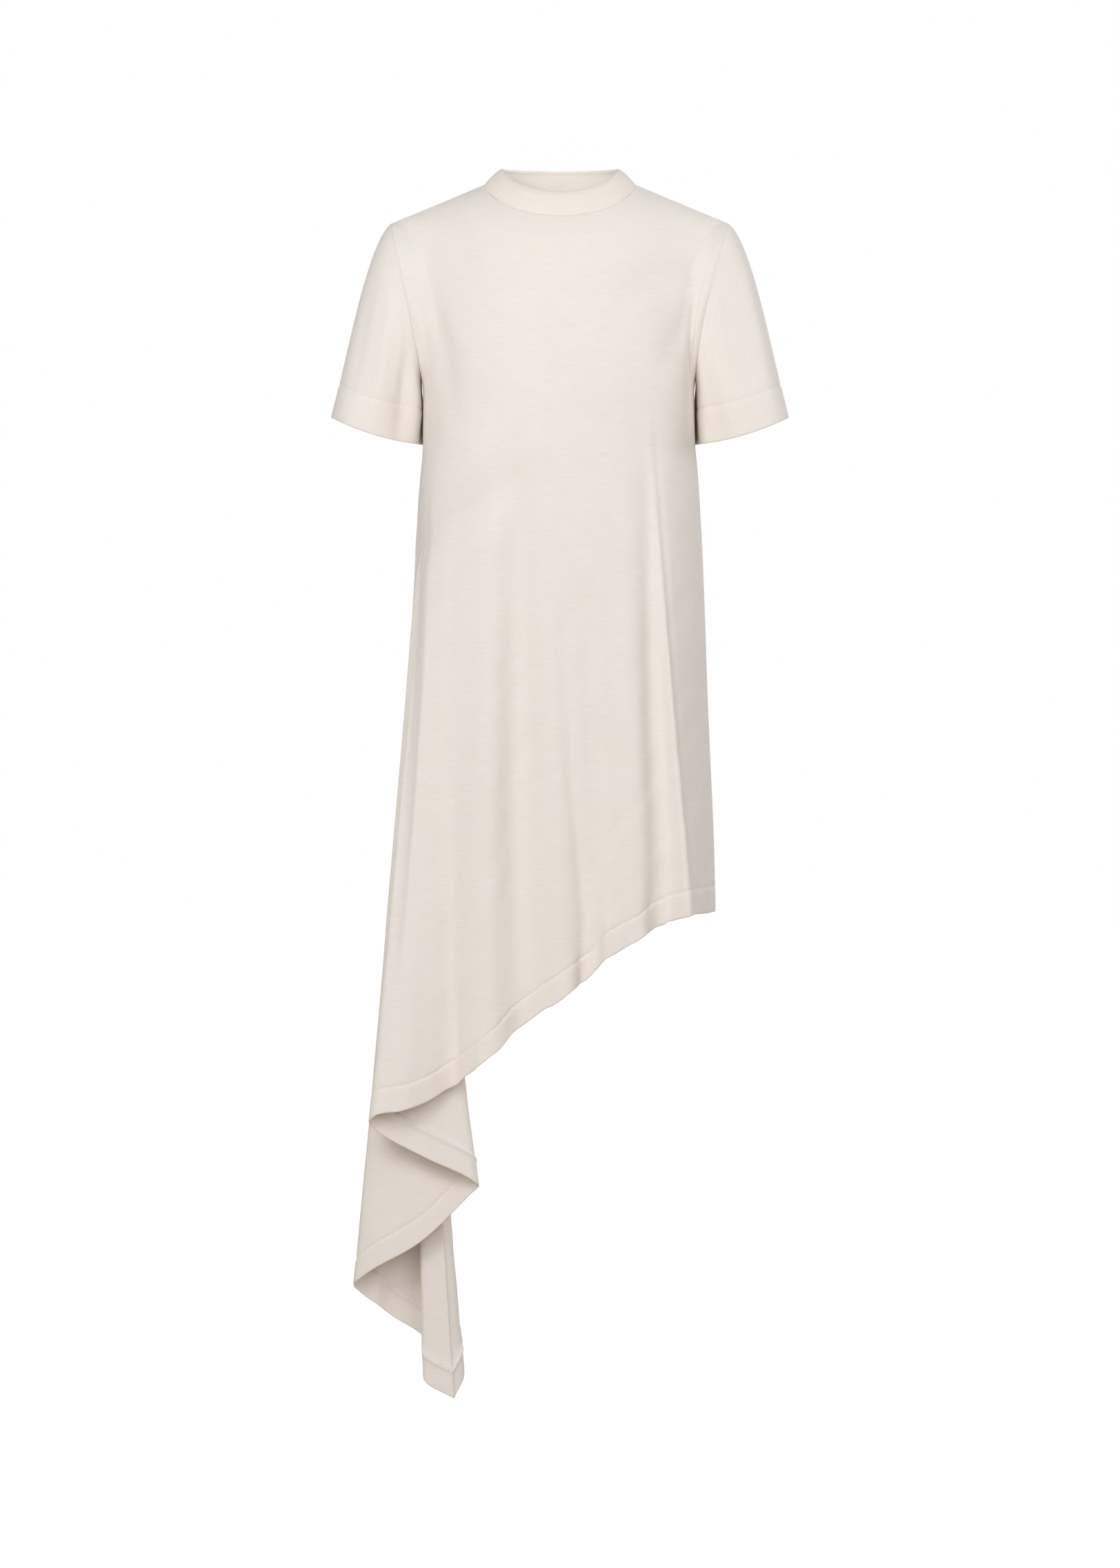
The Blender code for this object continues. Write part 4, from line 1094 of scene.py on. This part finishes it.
def hem_threads(node, cloth, levels, stitch_level):
    """The topstitching and the overlocked edge of one hem."""
    stitch_row = int(np.argmin(np.abs(levels[:, 0] - stitch_level)))
    edge_row = int(np.flatnonzero(levels[:, 0] < FAR_ABOVE_HEM)[0])
    columns = np.arange(cloth.points.shape[1])
    if cloth.closed:
        columns = np.append(columns, 0)
    outer = (cloth.points + cloth.outwards * PLY / 2)[stitch_row, columns]
    starts = even_places(outer, STITCH_LENGTH)[:-1]
    ends = starts + (np.append(starts[1:], starts[-1]) - starts) * STITCH_SHARE
    ends[-1] = starts[-1] + (starts[-1] - starts[-2]) * STITCH_SHARE
    ways = unit(at_columns(cloth.outwards[stitch_row, columns], starts))
    top = threads(node + "_topstitch", at_columns(outer, starts), at_columns(outer, ends), ways)
    upper = (cloth.points - cloth.outwards * PLY * OVERLOCK_HEAD)[edge_row - 1, columns]
    lower = (cloth.points - cloth.outwards * PLY * OVERLOCK_FOOT)[stitch_row + 1, columns]
    turns = even_places(upper, OVERLOCK_PITCH)
    half = (turns[:-1] + turns[1:]) / 2
    high = at_columns(upper, turns)
    low = at_columns(lower, half)
    inwards = unit(at_columns(-cloth.outwards[edge_row, columns], half))
    sides = (np.vstack([high[:-1], low]), np.vstack([low, high[1:]]), np.vstack([inwards, inwards]))
    overlock = threads(node + "_overlock", *sides)
    for piece in (top, overlock):
        piece.data.materials.append(thread)
        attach(piece, "root")
    return [top, overlock]


body_hem = (BODY_LEVELS, STITCH_LEVEL, PANEL_FLAT, PANEL_AREA)
sleeve_hem = (SLEEVE_ROW_LEVELS, SLEEVE_STITCH_LEVEL, SLEEVE_FLAT, SLEEVE_AREA)
sheets = (
    ("front_panel", front, front_cloth, *body_hem),
    ("back_panel", back, back_cloth, *body_hem),
    ("left_sleeve", *sleeves["left_sleeve"], *sleeve_hem),
    ("right_sleeve", *sleeves["right_sleeve"], *sleeve_hem),
)
for node, cloth, made, levels, stitch_level, flat, area in sheets:
    sewn = hem_threads(node, cloth, levels, stitch_level)


# ======================================== studio
# A pale seamless paper floor under soft, even light: large softboxes in front, dimmer ones at the
# sides and behind, and a long lens level with the chest.

FLOOR_Z = -1.52
FLOOR_HALF = 30.0
PAPER_GLOW = 0.90
CAMERA_Y = -30.0
CAMERA_Z = -0.25
CAMERA_REACH = 200.0
VIEW_Z = -0.710  # the height that the camera points at
VIEW_HEIGHT = 1.8639  # how much height it sees at the dress
FILM_HEIGHT = 36.0  # millimetres


def matt_paper(name, colour, glow):
    """White background paper: quite matt, and burnt out to white where the camera sees it lit."""
    material = with_no_nodes(bpy.data.materials.new(name))
    rays = add_node(material, "LightPath", {})
    glowing = {"operation": "MULTIPLY", 1: glow}
    strength = add_node(material, "Math", glowing, {0: rays})
    paper = {"Base Color": linear(colour), "Emission Color": linear("#FFFFFF"), "Roughness": 0.9}
    return with_surface(material, paper, {"Emission Strength": strength})


corners = [(x * FLOOR_HALF, y * FLOOR_HALF, FLOOR_Z) for x, y in ((-1, -1), (1, -1), (1, 1), (-1, 1))]
floor = add_mesh("studio_floor", np.array(corners), [(0, 1, 2, 3)])
floor.data.materials.append(matt_paper("matt_white_paper", "#B8AB9F", PAPER_GLOW))

ROOM_LIGHT = 0.42  # how bright the white room is as a light
room = with_no_nodes(bpy.data.worlds.new("white_room"))
lit = add_node(room, "Background", {"Color": linear("#FFF9F3"), "Strength": ROOM_LIGHT})
seen = add_node(room, "Background", {"Color": linear("#FFFFFF"), "Strength": 1.0})
rays = add_node(room, "LightPath", {})
either = add_node(room, "MixShader", {}, {0: rays, 1: lit, 2: seen})
add_node(room, "OutputWorld", {}, {"Surface": either})
bpy.context.scene.world = room

STUDIO_FLASH = "#F3F7FF"  # daylight flash, a little cooler than the paper's bounce


class Softbox(NamedTuple):
    """A round light: where it hangs, what it points at, how wide it is and how strong."""

    name: str
    place: tuple
    aim: tuple
    size: float
    power: float  # watts
    spread: float = 180.0  # degrees


SOFTBOXES = (
    Softbox("key_softbox", (-1.2, -2.4, 0.90), (0.0, 0.0, -0.15), 1.4, 28.7),
    Softbox("low_key_softbox", (-1.2, -2.8, 0.10), (0.0, 0.0, -0.15), 1.4, 13.0),
    Softbox("fill_softbox", (1.3, -2.6, 0.10), (0.0, 0.0, -0.15), 1.8, 21.2),
    Softbox("floor_reflector", (-0.6, -2.6, -1.00), (0.0, 0.0, -0.90), 1.4, 7.0),
    Softbox("left_strip_light", (-2.6, 0.4, -0.50), (0.0, 0.0, -0.60), 1.2, 4.5),
    Softbox("right_strip_light", (2.6, 0.4, 0.60), (0.0, 0.0, -0.50), 1.2, 15.6),
    Softbox("right_sleeve_light", (2.2, -1.2, 0.30), (0.22, 0.0, -0.12), 0.6, 0.10, 24.0),
    Softbox("back_softbox", (0.9, 2.8, 0.60), (0.0, 0.0, -0.30), 1.6, 24.0),
    # A small reflector inside the neck lights the back half of the neckband.
    Softbox("neck_reflector", (0.0, -0.040, -0.150), (0.0, 0.060, 0.005), 0.07, 0.10),
)


def point_at(made, place, aim):
    """Set up a light or the camera, and tell how far it stands from what it points at."""
    made.location = place
    made.rotation_mode = "QUATERNION"
    sight = Vector(aim) - made.location
    made.rotation_quaternion = sight.to_track_quat("-Z", "Y")
    return sight.length


for softbox in SOFTBOXES:
    light = bpy.data.lights.new(softbox.name, "AREA")
    light.spread = np.radians(softbox.spread)
    light.shape = "DISK"
    light.size = softbox.size
    light.energy = softbox.power
    light.color = linear(STUDIO_FLASH)[:3]
    lamp = add_object(softbox.name, light)
    point_at(lamp, softbox.place, softbox.aim)
    lamp.visible_camera = False

camera_data = bpy.data.cameras.new("camera")
camera = add_object("camera", camera_data)
distance = point_at(camera, (0.0, CAMERA_Y, CAMERA_Z), (0.0, 0.0, VIEW_Z))
camera_data.sensor_width = FILM_HEIGHT
camera_data.lens = FILM_HEIGHT * distance / VIEW_HEIGHT
camera_data.clip_end = CAMERA_REACH
bpy.context.scene.camera = camera
bpy.context.scene.view_settings.view_transform = "Standard"
